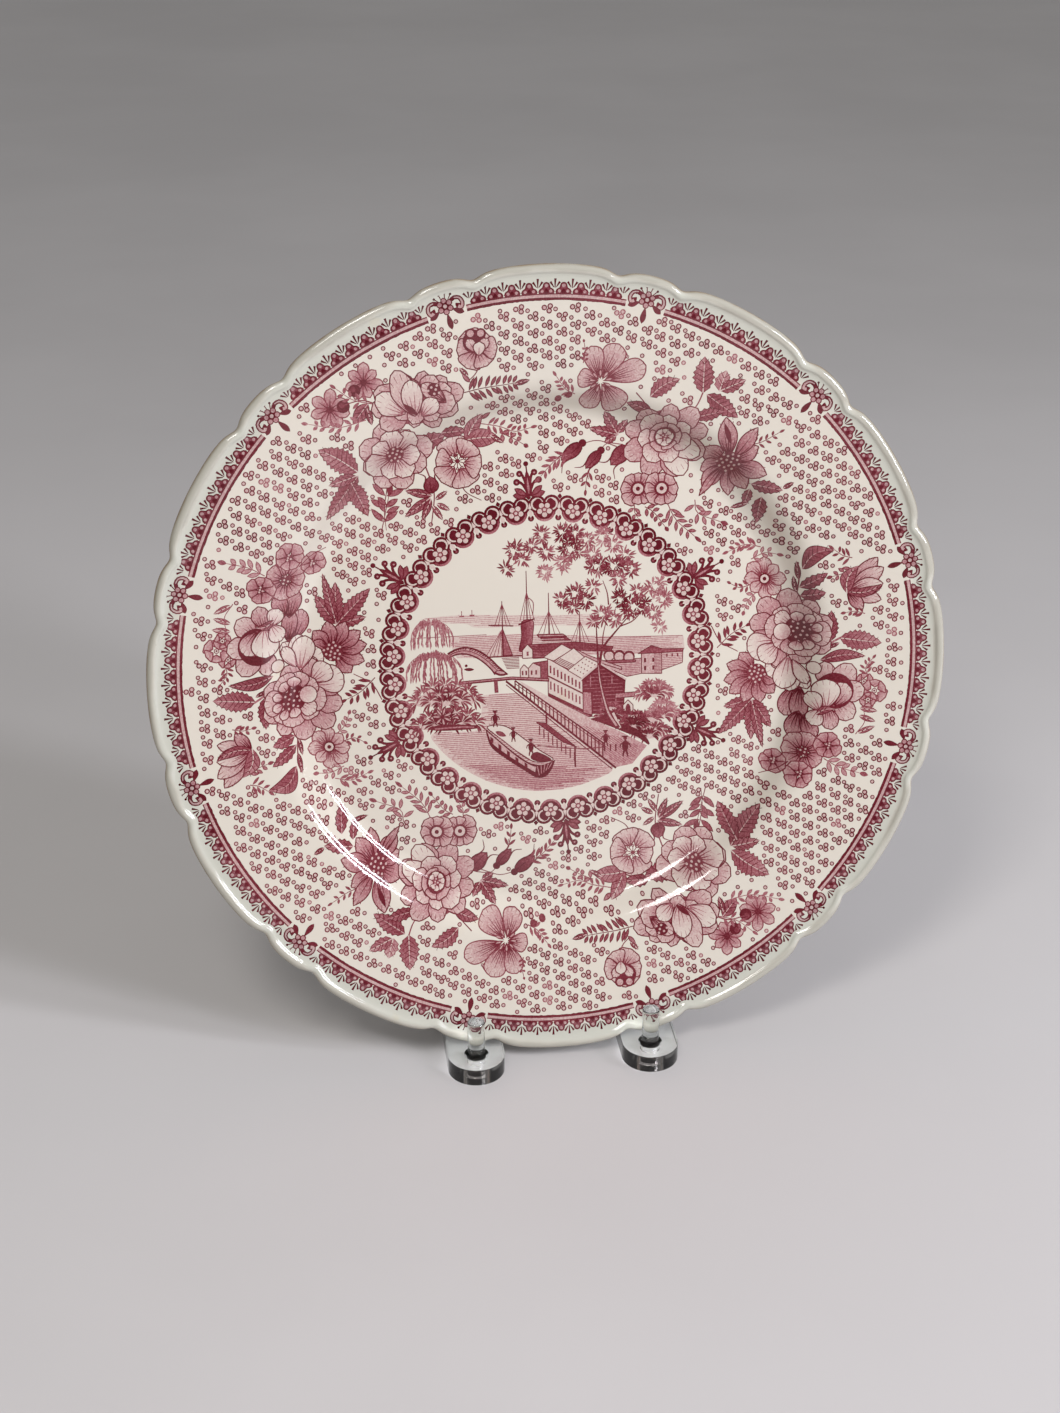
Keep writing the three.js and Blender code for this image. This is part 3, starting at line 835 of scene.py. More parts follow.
def bouquet_b():
    """The upper right bouquet: a pale open flower, a many-petalled one, a star and two small round ones."""
    pale_at = 17.4 + 92.6j
    leaves((22, 104.6, 26.4, 99.2, 1.9), ink=0.62)
    for x, y, width in (
        (9.6, 94.4, 6.4), (13.0, 83.0, 6.8), (24.8, 82.6, 8.4), (32.6, 97.4, 7.6), (23.4, 105.0, 7.8),
        (14.0, 104.6, 6.6),
    ):
        tip = complex(x, y)
        petal(
            pale_at + (tip - pale_at) * 0.08, tip, width, 0.62, 0.22, full=1.5, frill=0.04, waves=3, veins=5,
            line=0.66,
        )
    for k in range(9):
        out = np.exp(1j * (0.7 * k + 0.2))
        art.fill(blade(pale_at + out * 0.6, pale_at + out * 4.0, 1.2, 1.4, 0.8, 6), 0.74)
        art.fill(blade(pale_at + out * 1.6, pale_at + out * 3.6, 0.6, 1.4, 0.8, 6), 0.2)
    sprig([11.8 + 98.6j, 12.4 + 102j, 12 + 105j], 3, 1.8, 0.8, 0.6)
    sprig([9.6 + 88.6j, 6.4 + 90.4j, 3.4 + 94.6j], 5, 3.2, 1.0, 0.46)
    for x, y in ((4.4, 87.2), (7.6, 88.4)):
        dot(complex(x, y), 1.2, 9, 0.66)
    leaves((33.2, 87.0, 42.6, 92.6, 6.0), ink=0.82, teeth=6, bend=1.0)
    leaves((34.4, 81.6, 26.0, 85.4, 3.8), ink=0.9, bend=-0.4)
    leaves((50.0, 87.8, 50.2, 99.6, 7.4), ink=0.76, teeth=7)
    leaves((55.2, 88.2, 57.2, 95.0, 5.6), ink=0.5, teeth=4)
    leaves((55.4, 88.4, 63.6, 91.8, 4.8), ink=0.74, teeth=5)
    leaves((51.2, 87.4, 61.4, 79.6, 6.4), ink=0.86, teeth=7)
    leaves((47.6, 80.0, 57.0, 81.8, 4.8), ink=0.92, teeth=4)
    stem((50, 88), (48.6, 84.6), (46.4, 81.4), width=0.5, ink=0.6)
    stem((28.8, 88.6), (32.2, 84.6), (35.2, 80.4), width=0.4, ink=0.8)
    leaves(
        (24.6, 74.2, 14.8, 76.8, 4.0), (24.2, 74.6, 19.6, 82.4, 4.4), (24.4, 74.6, 27.4, 79.4, 3.4),
        (24, 74, 19.8, 71.8, 3.0), ink=0.84, teeth=4,
    )
    drooping_buds()
    sprig([9 + 68.6j, 4 + 66.8j, -1 + 61.8j], 5, 4.4, 1.1, 0.56, lean=42)
    sprig([15 + 63.4j, 14 + 60.4j, 13.6 + 57j], 2, 3.4, 1.0, 0.72, lean=40)
    leaves(
        (66.8, 57.4, 76.6, 55.4, 5.0), (70.4, 53.0, 70.0, 43.6, 4.8), (66.8, 55.6, 65.8, 49.4, 3.4), ink=0.88,
        teeth=5,
    )
    leaves((76.4, 56.0, 80.0, 58.0, 1.8), (67.0, 50.4, 61.2, 48.8, 1.8), ink=0.88)
    sprig([64.6 + 70.6j, 69 + 71.4j, 74.6 + 74.4j], 4, 3.0, 0.9, 0.66)
    sprig([49.6 + 52j, 50.6 + 47.6j, 58 + 44.4j], 4, 4.4, 1.5, 0.6)
    sprig([40.4 + 51.4j, 43.4 + 45.6j, 49.4 + 40j], 5, 4.8, 1.3, 0.66, lean=44)
    sprig([33 + 50.4j, 36 + 48.4j, 39.6 + 43.6j], 4, 3.0, 1.4, 0.74)
    sprig([29.6 + 51j, 29.6 + 48.8j, 30.8 + 46.6j], 2, 2.8, 1.3, 0.66)
    star_at = 59.6 + 64.8j
    for x, y, width in (
        (51, 69.6, 6.4), (51.2, 61.6, 6.6), (51.8, 56.0, 6.0), (60.6, 52.8, 5.0), (65.8, 55.2, 5.6),
        (71.4, 60.6, 6.4), (68.4, 70.2, 6.0), (68.0, 76.4, 5.0), (57.6, 80.0, 6.4), (50.8, 53.0, 3.0),
    ):
        tip = complex(x, y)
        petal(star_at + (tip - star_at) * 0.12, tip, width, 0.9, 0.46, full=1.1, blunt=0.85, veins=3)
    art.fill(blade(star_at + 6j, 57.2 + 78j, 1.7, 1.0, 0.9), 0.95)
    dotted_heart(star_at, 3.7, 18, 0.82, size=0.4)
    heart_at = 39.4 + 73.2j
    rosette(heart_at, 13.2, 9, (0.7, 0.42), turn=8, flat=0.96, frill=0.05, width=1.0)
    petal(heart_at, 45.6 + 60.8j, 8.4, 0.24, 0.04, frill=0.05)
    petal(heart_at, 50.2 + 66.8j, 7.4, 0.3, 0.05, frill=0.05)
    rosette(heart_at, 9.0, 7, (0.66, 0.05), turn=30, flat=0.94, frill=0.05, width=1.05)
    rosette(heart_at, 5.4, 6, (0.85, 0.3), turn=5, width=1.0, veins=0)
    dotted_heart(heart_at, 3.5, 1, 0.9, head=0.9)
    rosette(heart_at, 3.0, 8, (0.3, 0.06), veins=0, start=0.3, edge=0.2)
    dotted_heart(heart_at, 1.2, 5, 0.7, size=0.3)
    for at in (30.8 + 56.4j, 38.6 + 56.2j):
        rosette(at, 5.9, 8, (0.62, 0.34), width=1.05, veins=2, start=0.2)
        dot(at, 2.5, 14, 0.9)
        dot(at, 1.75, 12, 0.1)
        dot(at, 0.75, 9, DARK)


def striped_lily():
    """Long striped petals in a cup, with two bracts."""
    base = 98 + 21.4j
    for x, y, width, dark, light in (
        (107.6, 32.8, 5.6, 0.66, 0.3), (109.6, 29.4, 6.0, 0.6, 0.16), (109.2, 18.4, 5.0, 0.6, 0.14),
        (103.4, 15.2, 4.4, 0.84, 0.46), (109.6, 24.0, 6.4, 0.5, 0.05),
    ):
        petal(base, complex(x, y), width, dark, light, full=1.2, blunt=0.7, veins=5)
    leaf(base - 0.6, 109.6 + 23.8j, 3.4, ink=0.82, bend=-1.6)
    leaf(base - 0.8j, 101.4 + 30j, 5.0, ink=0.76, bend=1.6)


def peony():
    """Pale petals round a dark stippled heart."""
    at = 84.0 + 7.0j
    rosette(80.6 + 7.6j, 13.0, 9, (0.72, 0.42), turn=12, frill=0.05, width=1.05)
    petal(77 + 3.4j, 67 + 0.6j, 10.0, 0.3, 0.03, full=1.5)
    petal(78 + 2.4j, 71.4 - 3.2j, 8.0, 0.3, 0.04, full=1.5)
    rosette(83 + 7.2j, 9.4, 8, (0.75, 0.22), turn=40, width=1.0)
    petal(83 + 8j, 76.6 + 12.6j, 6.0, 0.35, 0.14)
    dot(at + 0.6, 5.0, 18, 0.96)
    for k in range(17):
        spot = at + 0.6 + 3.9 * math.sqrt((k + 0.5) / 17) * np.exp(1j * GOLDEN * k)
        dot(spot, 0.4, 7, 0.16)
    for degrees, radius, size in (
        (100, 5.4, 4.4), (60, 5.8, 3.6), (20, 5.6, 3.6), (-20, 5.4, 3.4), (-62, 5.6, 4.2), (-100, 6.0, 5.0),
    ):
        tip = away_from(at + 0.4, radius + 1.4, degrees)
        petal(away_from(at + 0.4, radius - 2.6, degrees), tip, size, 0.5, 0.1, full=1.2, blunt=0.5, veins=1)
    dot(79 + 6.4j, 3.1, 18, EDGE_INK)
    art.shade(disc(79 + 6.4j, 2.75, 16), 81.4 + 4.6j, 77 + 8j, 0.2, 0.02)


def cupped_rose():
    """Open outer petals round a dark cup that pale inner petals close."""
    for bx, by, tx, ty, width, dark, light in (
        (93, -14, 91.4, -2.8, 7.0, 0.6, 0.26),
        (94, -14, 99.8, -3.6, 8.6, 0.6, 0.26),
        (94, -14, 104.0, -11.6, 8.0, 0.6, 0.2),
        (94, -15, 100.4, -21.6, 7.6, 0.6, 0.18),
        (92, -17, 93.6, -25.4, 6.4, 0.7, 0.36),
    ):
        petal(complex(bx, by), complex(tx, ty), width, dark, light, frill=0.04, veins=4)
    dot(94.6 - 12.4j, 6.2, 20, 0.9)
    petal(94 - 18j, 98.6 - 9.6j, 7.6, 0.7, 0.12, full=1.4)
    petal(92 - 18.4j, 92.0 - 8.2j, 9.4, 0.16, 0.02, full=1.3, veins=2)
    petal(90 - 19.4j, 86.6 - 13.0j, 6.0, 0.2, 0.03, full=1.3, veins=2)
    petal(90 - 18.6j, 87.0 - 24.4j, 6.0, 0.24, 0.03, full=1.3, veins=2)
    leaf(88.6 - 20.6j, 94.6 - 18.6j, 2.8, ink=0.85, bend=0.8)


def bouquet_c():
    """The bouquet on the right: lily, peony, cupped rose, star and small flowers."""
    leaves((84.0, 28.6, 93.6, 35.2, 6.0), ink=0.9, bend=2.6)
    leaves((83.6, 22.0, 91.8, 27.6, 4.6), (84.0, 19.0, 91.4, 21.0, 5.0), ink=0.92, teeth=4)
    leaves((83.4, 24.6, 82.2, 31.4, 1.8), (82.8, 20.4, 81.8, 26.0, 1.6), ink=0.86)
    stem((82.6, 31), (83.4, 25), (83, 17), width=0.5)
    sprig([99.4 + 32.6j, 96.4 + 33.4j, 93.6 + 35.4j], 3, 3.6, 1.0, 0.6)
    sprig([100 + 29.4j, 96.6 + 27.4j, 93.4 + 26.4j], 3, 3.2, 1.3, 0.66)
    sprig([104 + 13.8j, 100.6 + 14.6j, 98 + 14.2j], 3, 2.8, 1.1, 0.6)
    striped_lily()
    rosette(73 + 24.8j, 7.2, 8, (0.5, 0.26), width=0.85, full=1.3, blunt=0.7, start=0.15, line=0.6)
    ring_heart(73 + 24.6j, 2.0)
    sprig([71.6 + 35.4j, 66.4 + 36.4j, 61 + 34.4j], 5, 3.6, 1.1, 0.46, lean=40)
    sprig([68.4 + 31.4j, 73 + 33.4j, 76.6 + 33j], 3, 3.2, 1.3, 0.5)
    sprig([70 + 20j, 67.4 + 17.4j, 66.2 + 14.2j], 3, 2.8, 1.3, 0.5)
    sprig([68 + 22.8j, 64.6 + 22j, 61.8 + 23.4j], 3, 2.6, 1.0, 0.6)
    leaves((93.2, 4.4, 93.2, 15.0, 5.2), ink=0.88, teeth=7)
    leaves((96.0, 5.6, 109.6, 3.8, 7.4), ink=0.74, teeth=9)
    stem((91, 0.6), (93, 3.6), (96.4, 5.8), width=0.9, ink=0.4)
    leaves((90.0, -2.2, 104.4, -0.6, 4.2), ink=0.9, bend=1.2)
    leaves((92.0, 0.6, 92.4, 6.4, 2.4), ink=0.9)
    sprig([105 - 7.2j, 104.6 - 4.4j, 106.6 - 1.6j], 4, 2.8, 0.9, 0.6)
    for at, size in ((104 - 9.2j, 3.0), (107.4 - 12.4j, 4.2), (105.4 - 15.4j, 3.0)):
        rosette(at, size, 6, (0.62, 0.44), width=1.0, veins=0, start=0.25, line=0.7)
        ring_heart(at, 0.9)
    leaves(
        (102.6, -18.2, 108.6, -19.4, 2.2), (102.4, -20.8, 108.0, -23.0, 2.0),
        (102.0, -26.8, 107.8, -24.4, 2.0), ink=0.6,
    )
    stem((101.4, -27.2), (104.4, -22.6), (103.4, -16.6), width=0.3, ink=0.6)
    # The pointed leaf under the star flower.
    for x, y, width in (
        (59.0, -18.4, 4.6), (57.4, -27.8, 6.0), (68.6, -30.4, 5.6), (75.4, -26.4, 5.8), (72.6, -33.4, 4.0),
    ):
        leaf(68.8 - 16.4j, complex(x, y), width, ink=0.86, teeth=6)
    star_at = 70.4 - 7.4j
    for degrees, size in (
        (128, 9.5), (160, 11.0), (190, 11.5), (215, 11.5), (245, 11.0), (278, 10.5), (310, 9.6), (338, 8.0),
    ):
        tip = away_from(star_at, size, degrees)
        petal(away_from(star_at, 1.6, degrees), tip, 5.6, 0.95, 0.5, full=1.1, blunt=0.8, veins=2)
    dotted_heart(star_at, 3.3, 16, 0.78, size=0.42)
    leaves((96, 4, 92, 2, 1.5), ink=0.9)
    for bx, by, tx, ty, width in (
        (83, -12, 79.6, -22.4, 7.0), (84.6, -12, 83.4, -23.0, 5.6), (84, -20, 81.6, -29.6, 6.4),
        (85, -21, 88.0, -28.8, 5.6),
    ):
        petal(complex(bx, by), complex(tx, ty), width, 0.85, 0.5, full=1.3, veins=3)
    for at, size, ink in (
        (84.4 - 33.4j, 7.0, 0.3), (92.4 - 31.0j, 4.8, 0.5), (83.0 - 40.6j, 5.0, 0.42),
        (75.6 - 37.4j, 4.2, 0.5),
    ):
        rosette(at, size, 7, (0.75, ink), width=0.95, veins=2, start=0.15, turn=20, line=0.7)
        dotted_heart(at, size * 0.22, 4, 0.85, size=0.34)
    sprig([91 - 35.4j, 96 - 38.4j, 102.6 - 40.4j], 4, 4.4, 1.7, 0.5, lean=40)
    stem((80, -37), (76, -40), (71, -42), width=0.36)
    sprig([66.4 + 8.8j, 62.0 + 6.6j, 57 + 2j][::-1], 5, 4.6, 1.2, 0.82, lean=52)
    stem((55, 9.6), (58.2, 4.0), (64, 0.4), width=0.4)
    cupped_rose()
    for x, y, width in ((86.6, -12.6, 5.6), (81.4, -14.2, 7.0), (74.0, -8.6, 8.4), (74.6, -3.6, 6.4)):
        petal(81.6 - 2.6j, complex(x, y), width, 0.26, 0.03, full=1.4, veins=2)
    peony()
    petal(81.2 - 1.6j, 79.0 - 13.4j, 8.0, 0.24, 0.02, full=1.5, veins=2)
    petal(82.4 - 3j, 86.6 - 11.0j, 4.4, 0.2, 0.04, full=1.3, veins=2)
    dot(88.4 - 5.0j, 2.3, 14, EDGE_INK)
    dot(88.4 - 5.0j, 1.95, 12, 0.04)


def draw_bouquets():
    """The three bouquets, and the same three half a turn round."""
    first = len(art.outlines)
    bouquet_a()
    bouquet_b()
    bouquet_c()
    art.repeat(first, -1)


# ---- The harbour view in the middle ----

FAN_DEGREES = range(-112, 113, 28)
FANS_PER_AREA = 0.32
CROWN_SQUEEZE = 0.85  # a crown's height as a share of its width


def spots_of(*numbers):
    """Points from x, y, x, y and so on."""
    return [complex(x, y) for x, y in zip(numbers[::2], numbers[1::2])]


def rule(ax, ay, bx, by, width, ink, end=None):
    """A straight line of ink."""
    a, b = complex(ax, ay), complex(bx, by)
    side = 1j * (b - a) / abs(b - a) / 2
    count = max(2, math.ceil(abs(b - a) / 1.6) + 1)
    line = a + (b - a) * np.linspace(0, 1, count)
    half = np.linspace(width, width if end is None else end, count)
    art.fill(np.concatenate([line + side * half, (line - side * half)[::-1]]), ink)


def rules(*numbers, width, ink):
    """Straight lines from point to point."""
    line = spots_of(*numbers)
    for a, b in zip(line, line[1:]):
        rule(a.real, a.imag, b.real, b.imag, width, ink)


def blob(*numbers, step, ink):
    """A smooth area of ink round the points."""
    art.fill(loop(spots_of(*numbers), step), ink)


def panel(*numbers, ink, line=0.3, line_ink=0.9):
    """A flat area with a drawn edge."""
    corners = spots_of(*numbers)
    art.fill(np.array(corners), ink)
    if line:
        rules(*numbers, *numbers[:2], width=line, ink=line_ink)


def hatch(outline, pitch, width, ink, slope=0.0, waver=0.0):
    """Parallel lines across an area."""
    turn = unit(slope)
    corners = np.asarray(outline) / turn
    after = np.roll(corners, -1)
    for level in np.arange(corners.imag.min() + pitch / 2, corners.imag.max(), pitch):
        crossing = (corners.imag > level) != (after.imag > level)
        a, b = corners[crossing], after[crossing]
        ends = np.sort(a.real + (level - a.imag) * (b.real - a.real) / (b.imag - a.imag))
        for low, high in zip(ends[::2], ends[1::2]):
            if waver:
                low += waver * rng.random()
                high -= waver * rng.random()
            if high - low < 0.5:
                continue
            drift = rng.normal(0, 0.05) if waver else 0.0
            start, end = turn * complex(low, level), turn * complex(high, level + drift)
            rule(start.real, start.imag, end.real, end.imag, width, ink)


def tuft(x, y, size, ink):
    """A crown of narrow leaves in fans that open away from its middle."""
    fans = max(2, round(size * size * FANS_PER_AREA))
    for k in range(fans):
        out = math.sqrt((k + 0.3) / fans) * (size - 1.5)
        direction = np.exp(1j * (GOLDEN * k + rng.normal(0, 0.25)))
        spot = complex(x, y) + complex(direction.real, direction.imag * CROWN_SQUEEZE) * out
        shade = ink * rng.uniform(0.7, 1.1)
        for degrees in FAN_DEGREES:
            lean = direction * unit(degrees + rng.normal(0, 8))
            leaf_end = spot + lean * rng.uniform(1.9, 3.3)
            outline = blade(spot + lean * 0.2, leaf_end, 0.58, 1.2, 0.85, 6)
            art.fill(outline, min(1.0, shade * rng.uniform(0.8, 1.15)))


def willow(x, y, reach, drop, count, ink):
    """Branches that arch out from one crown, with long narrow leaves that hang from them."""
    for k in range(count):
        lean = (k / (count - 1) - 0.5) * 2 + rng.normal(0, 0.05)
        lift = 1.8 * (1 - lean * lean) + rng.normal(0, 0.3)
        points = [complex(x + lean * reach * 0.15, y - 0.6), complex(x + lean * reach * 0.6, y + lift)]
        points += [
            complex(x + lean * reach, y - drop * 0.34), complex(x + lean * reach * 1.04, y - drop * 0.7),
        ]
        line = curve(points, 0.9)
        draw(ink, points, 0.3, 0.2, 1.6)
        for spot in line[2:]:
            fall = complex(rng.normal(0.12 * lean, 0.1), -1) * rng.uniform(1.6, 2.7)
            art.fill(blade(spot, spot + fall, 0.5, 0.9, 0.9, 5), min(1.0, ink * rng.uniform(0.7, 1.3)))


def burst(x, y, radius, count, ink, first, last, width):
    """Long narrow leaves that spread from one point and bend down at their tips."""
    at = complex(x, y)
    for k in range(count):
        angle = math.radians(first + (last - first) * (k + 0.5) / count + rng.normal(0, 4))
        out = complex(math.cos(angle), math.sin(angle)) * radius * rng.uniform(0.8, 1.1)
        tip = at + out - 0.16j * radius * abs(math.cos(angle))
        outline = blade(at + out * 0.12, tip, width, 1.15, 0.8, 7, bend=0.5 * math.cos(angle))
        art.fill(outline, min(1.0, ink * rng.uniform(0.75, 1.25)))


def bush(x, y, width, height, ink, size=4.2):
    """Bursts of leaves set over a low half oval, paler behind, on a pale middle tone."""
    arch = np.linspace(0, math.pi, 7)
    mound = [complex(x + width * 0.8 * math.cos(a), y + height * 0.8 * math.sin(a)) for a in arch]
    art.fill(loop(mound, 1.6), ink * 0.14)
    for row, share in enumerate((1.0, 0.55, 0.15)):
        count = max(2, round(width * share * 2.4 / size))
        for k in range(count):
            angle = math.pi * (k + 0.5) / count
            across = (width - size * 0.45) * share * math.cos(angle)
            at = complex(x + across, y + (height - size * 0.5) * share * math.sin(angle))
            turn = math.degrees(angle)
            burst(at.real, at.imag, size, 9, ink * (0.7 + 0.2 * row), turn - 100, turn + 100, 0.7)


def figure(x, y, size):
    """A tiny generic figure in a hat."""
    at = complex(x, y)
    art.fill(blade(at - 2.2j * size, at + 1.5j * size, 1.9 * size, 0.9, 0.6, 8), 0.9)
    dot(at + 2.0j * size, 0.62 * size, 9, 0.72)
    draw(DARK, [at + (-0.9 + 2.45j) * size, at + (0.9 + 2.45j) * size], 0.42 * size)
    for side in (-1, 1):
        foot = at + (side * 0.7 - 3.6j) * size
        draw(0.88, [at - 1.2j * size, at + (side * 0.5 - 2.4j) * size, foot], 0.7 * size, 0.4 * size)
        draw(
            0.85, [at + 0.9j * size, at + (side * 1.3 + 0.1j) * size, at + (side * 1.5 - 0.9j) * size],
            0.5 * size, 0.3 * size,
        )


def distance():
    """Haze, the sea and the far coast."""
    haze = spots_of(
        -41, 16.6, -30, 17.4, -12, 16.6, 4, 15.8, 16, 15.4, 15, 11.6, 2, 12.4, -22, 12.8, -27, 14.4,
        -40, 15.2,
    )
    art.fill(loop(haze, 1.4), 0.05)
    hatch(loop(haze, 1.4), 0.62, 0.24, 0.2, waver=5.0)
    sea = np.array(spots_of(
        -33, 10.2, -10, 10.2, 16, 8.2, 32, 7.2, 45.6, 6.6, 46, 2.2, 30, 1.4, -2, 2, -30, 3,
    ))
    art.shade(sea, 8j, 2j, 0.07, 0.1)
    hatch(sea, 0.58, 0.26, 0.3, waver=4.0)
    rules(-43, 10.4, -20, 10.4, width=0.24, ink=0.45)
    rules(16, 7.6, 45.4, 6.8, width=0.24, ink=0.5)
    for x, y in ((-28, 16.9), (-24.6, 17.1), (13.6, 17.5)):
        rule(x - 0.8, y, x + 0.8, y, 0.5, 0.5)
        rule(x, y, x, y + 1.8, 0.24, 0.5)


def shipping():
    """Masts, rigging and sails, and the barges at the far side."""
    for x, low, top, yard in (
        (-14.7, 2.6, 21.4, 13.2), (-6.5, 4.4, 31.0, 0), (0.7, 8.6, 23.4, 0), (10.9, 5.0, 16.6, 0),
    ):
        rule(x, low, x, top, 0.55, 0.92, 0.26)
        if yard:
            rule(x - 4.6, yard + 0.3, x + 3.6, yard - 0.3, 0.42, 0.85)
    for x, foot, top, spread in (
        (-14.7, 13.0, 20.4, 2.6), (0.7, 9.6, 17.2, 3.6), (10.9, 6.2, 13.6, 3.0), (-6.5, 14.4, 24, 2.4),
    ):
        for k in (-2, -1, 1, 2):
            rule(x, top, x + spread * k / 2, foot, 0.22, 0.7)
    art.fill(np.array(spots_of(-15.4, 11.8, -20.4, 3.0, -15.2, 3.0)), 0.1)
    for k in range(5):
        rule(-14.9, 11.8, -20.4 + 1.3 * k, 3.0, 0.22, 0.6)
    panel(-14.6, 11.9, -11.6, 3.1, -14.6, 3.1, ink=0.5)
    sail = loop(spots_of(-8.4, 14.2, -4.5, 14.4, -4.6, 9.6, -5.6, 5.0, -9.4, 4.2, -8.6, 9), 1.0)
    art.fill(sail, 0.86)
    art.shade(inset(sail, 0.3), -9 + 9j, -4.6 + 9j, 0.82, 0.4)
    rule(-9.4, 13.2, -4.0, 15.0, 0.5, 0.95)
    draw(0.7, spots_of(-6.4, 22.4, -4.4, 20.4, -4.6, 16.2), 0.3)
    rules(-20.4, 2.8, -8.2, 2.8, width=0.5, ink=0.85)
    hatch(spots_of(-15.4, 2.6, -9.4, 2.6, -9.4, -1.6, -13.6, -1.6), 0.5, 0.26, 0.75)
    for y in (9.4, 8.2):
        x = 9.4 - y
        panel(-3.4 + x, y + 0.2, 5.2 + x, y, 6.6 + x, y - 1.0, -2.8 + x, y - 0.8, ink=0.72)
        rule(-2.6, y - 0.3, 5.6, y - 0.45, 0.24, 0.2)


def footbridge():
    """The arched bridge on the left and the landing under it."""
    over = spots_of(-33, 4.6, -30, 6.0, -26.6, 6.4, -22.6, 5.0, -19, 2.2, -16.4, -0.6, -13.4, -3.4)
    under = spots_of(-32.4, 3.4, -29.8, 4.3, -26.6, 4.2, -23.4, 2.8, -20.6, 0.6, -18.4, -1.8, -17.6, -3.2)
    top, bottom = curve(over), curve(under)
    art.fill(np.concatenate([top, bottom[::-1]]), 0.24)
    for line, width in ((over, 0.6), (under, 0.5)):
        draw(0.9, line, width)
    middle = [(a + b) / 2 for a, b in zip(over, under)]
    draw(0.7, middle, 0.3)
    for k in range(1, 26):
        a = top[k * (len(top) - 1) // 26]
        b = bottom[k * (len(bottom) - 1) // 26]
        rule(a.real, a.imag, (2 * a + b).real / 3, (2 * a + b).imag / 3, 0.3, 0.85)
    rules(-29.6, -5.5, -12, -4.7, 0.4, -6.0, width=1.2, ink=0.84)
    rules(-29, -5.4, -12, -4.6, 0, -5.9, width=0.34, ink=0.3)
    rule(-17.4, -5.4, -17.2, -9.4, 1.3, 0.62)
    art.fill(blade(-18 - 2.4j, -13.4 - 3.2j, 1.9, 1.0, 0.7), 0.88)
    art.fill(blade(-17.2 - 2.3j, -14.2 - 2.9j, 0.9, 1.0, 0.7), 0.2)
    art.fill(blade(-27.8 - 0.9j, -24.4 - 1.1j, 1.1, 1.0, 0.7), 0.85)
    dot(-27 + 0.3j, 0.5, 8, 0.8)


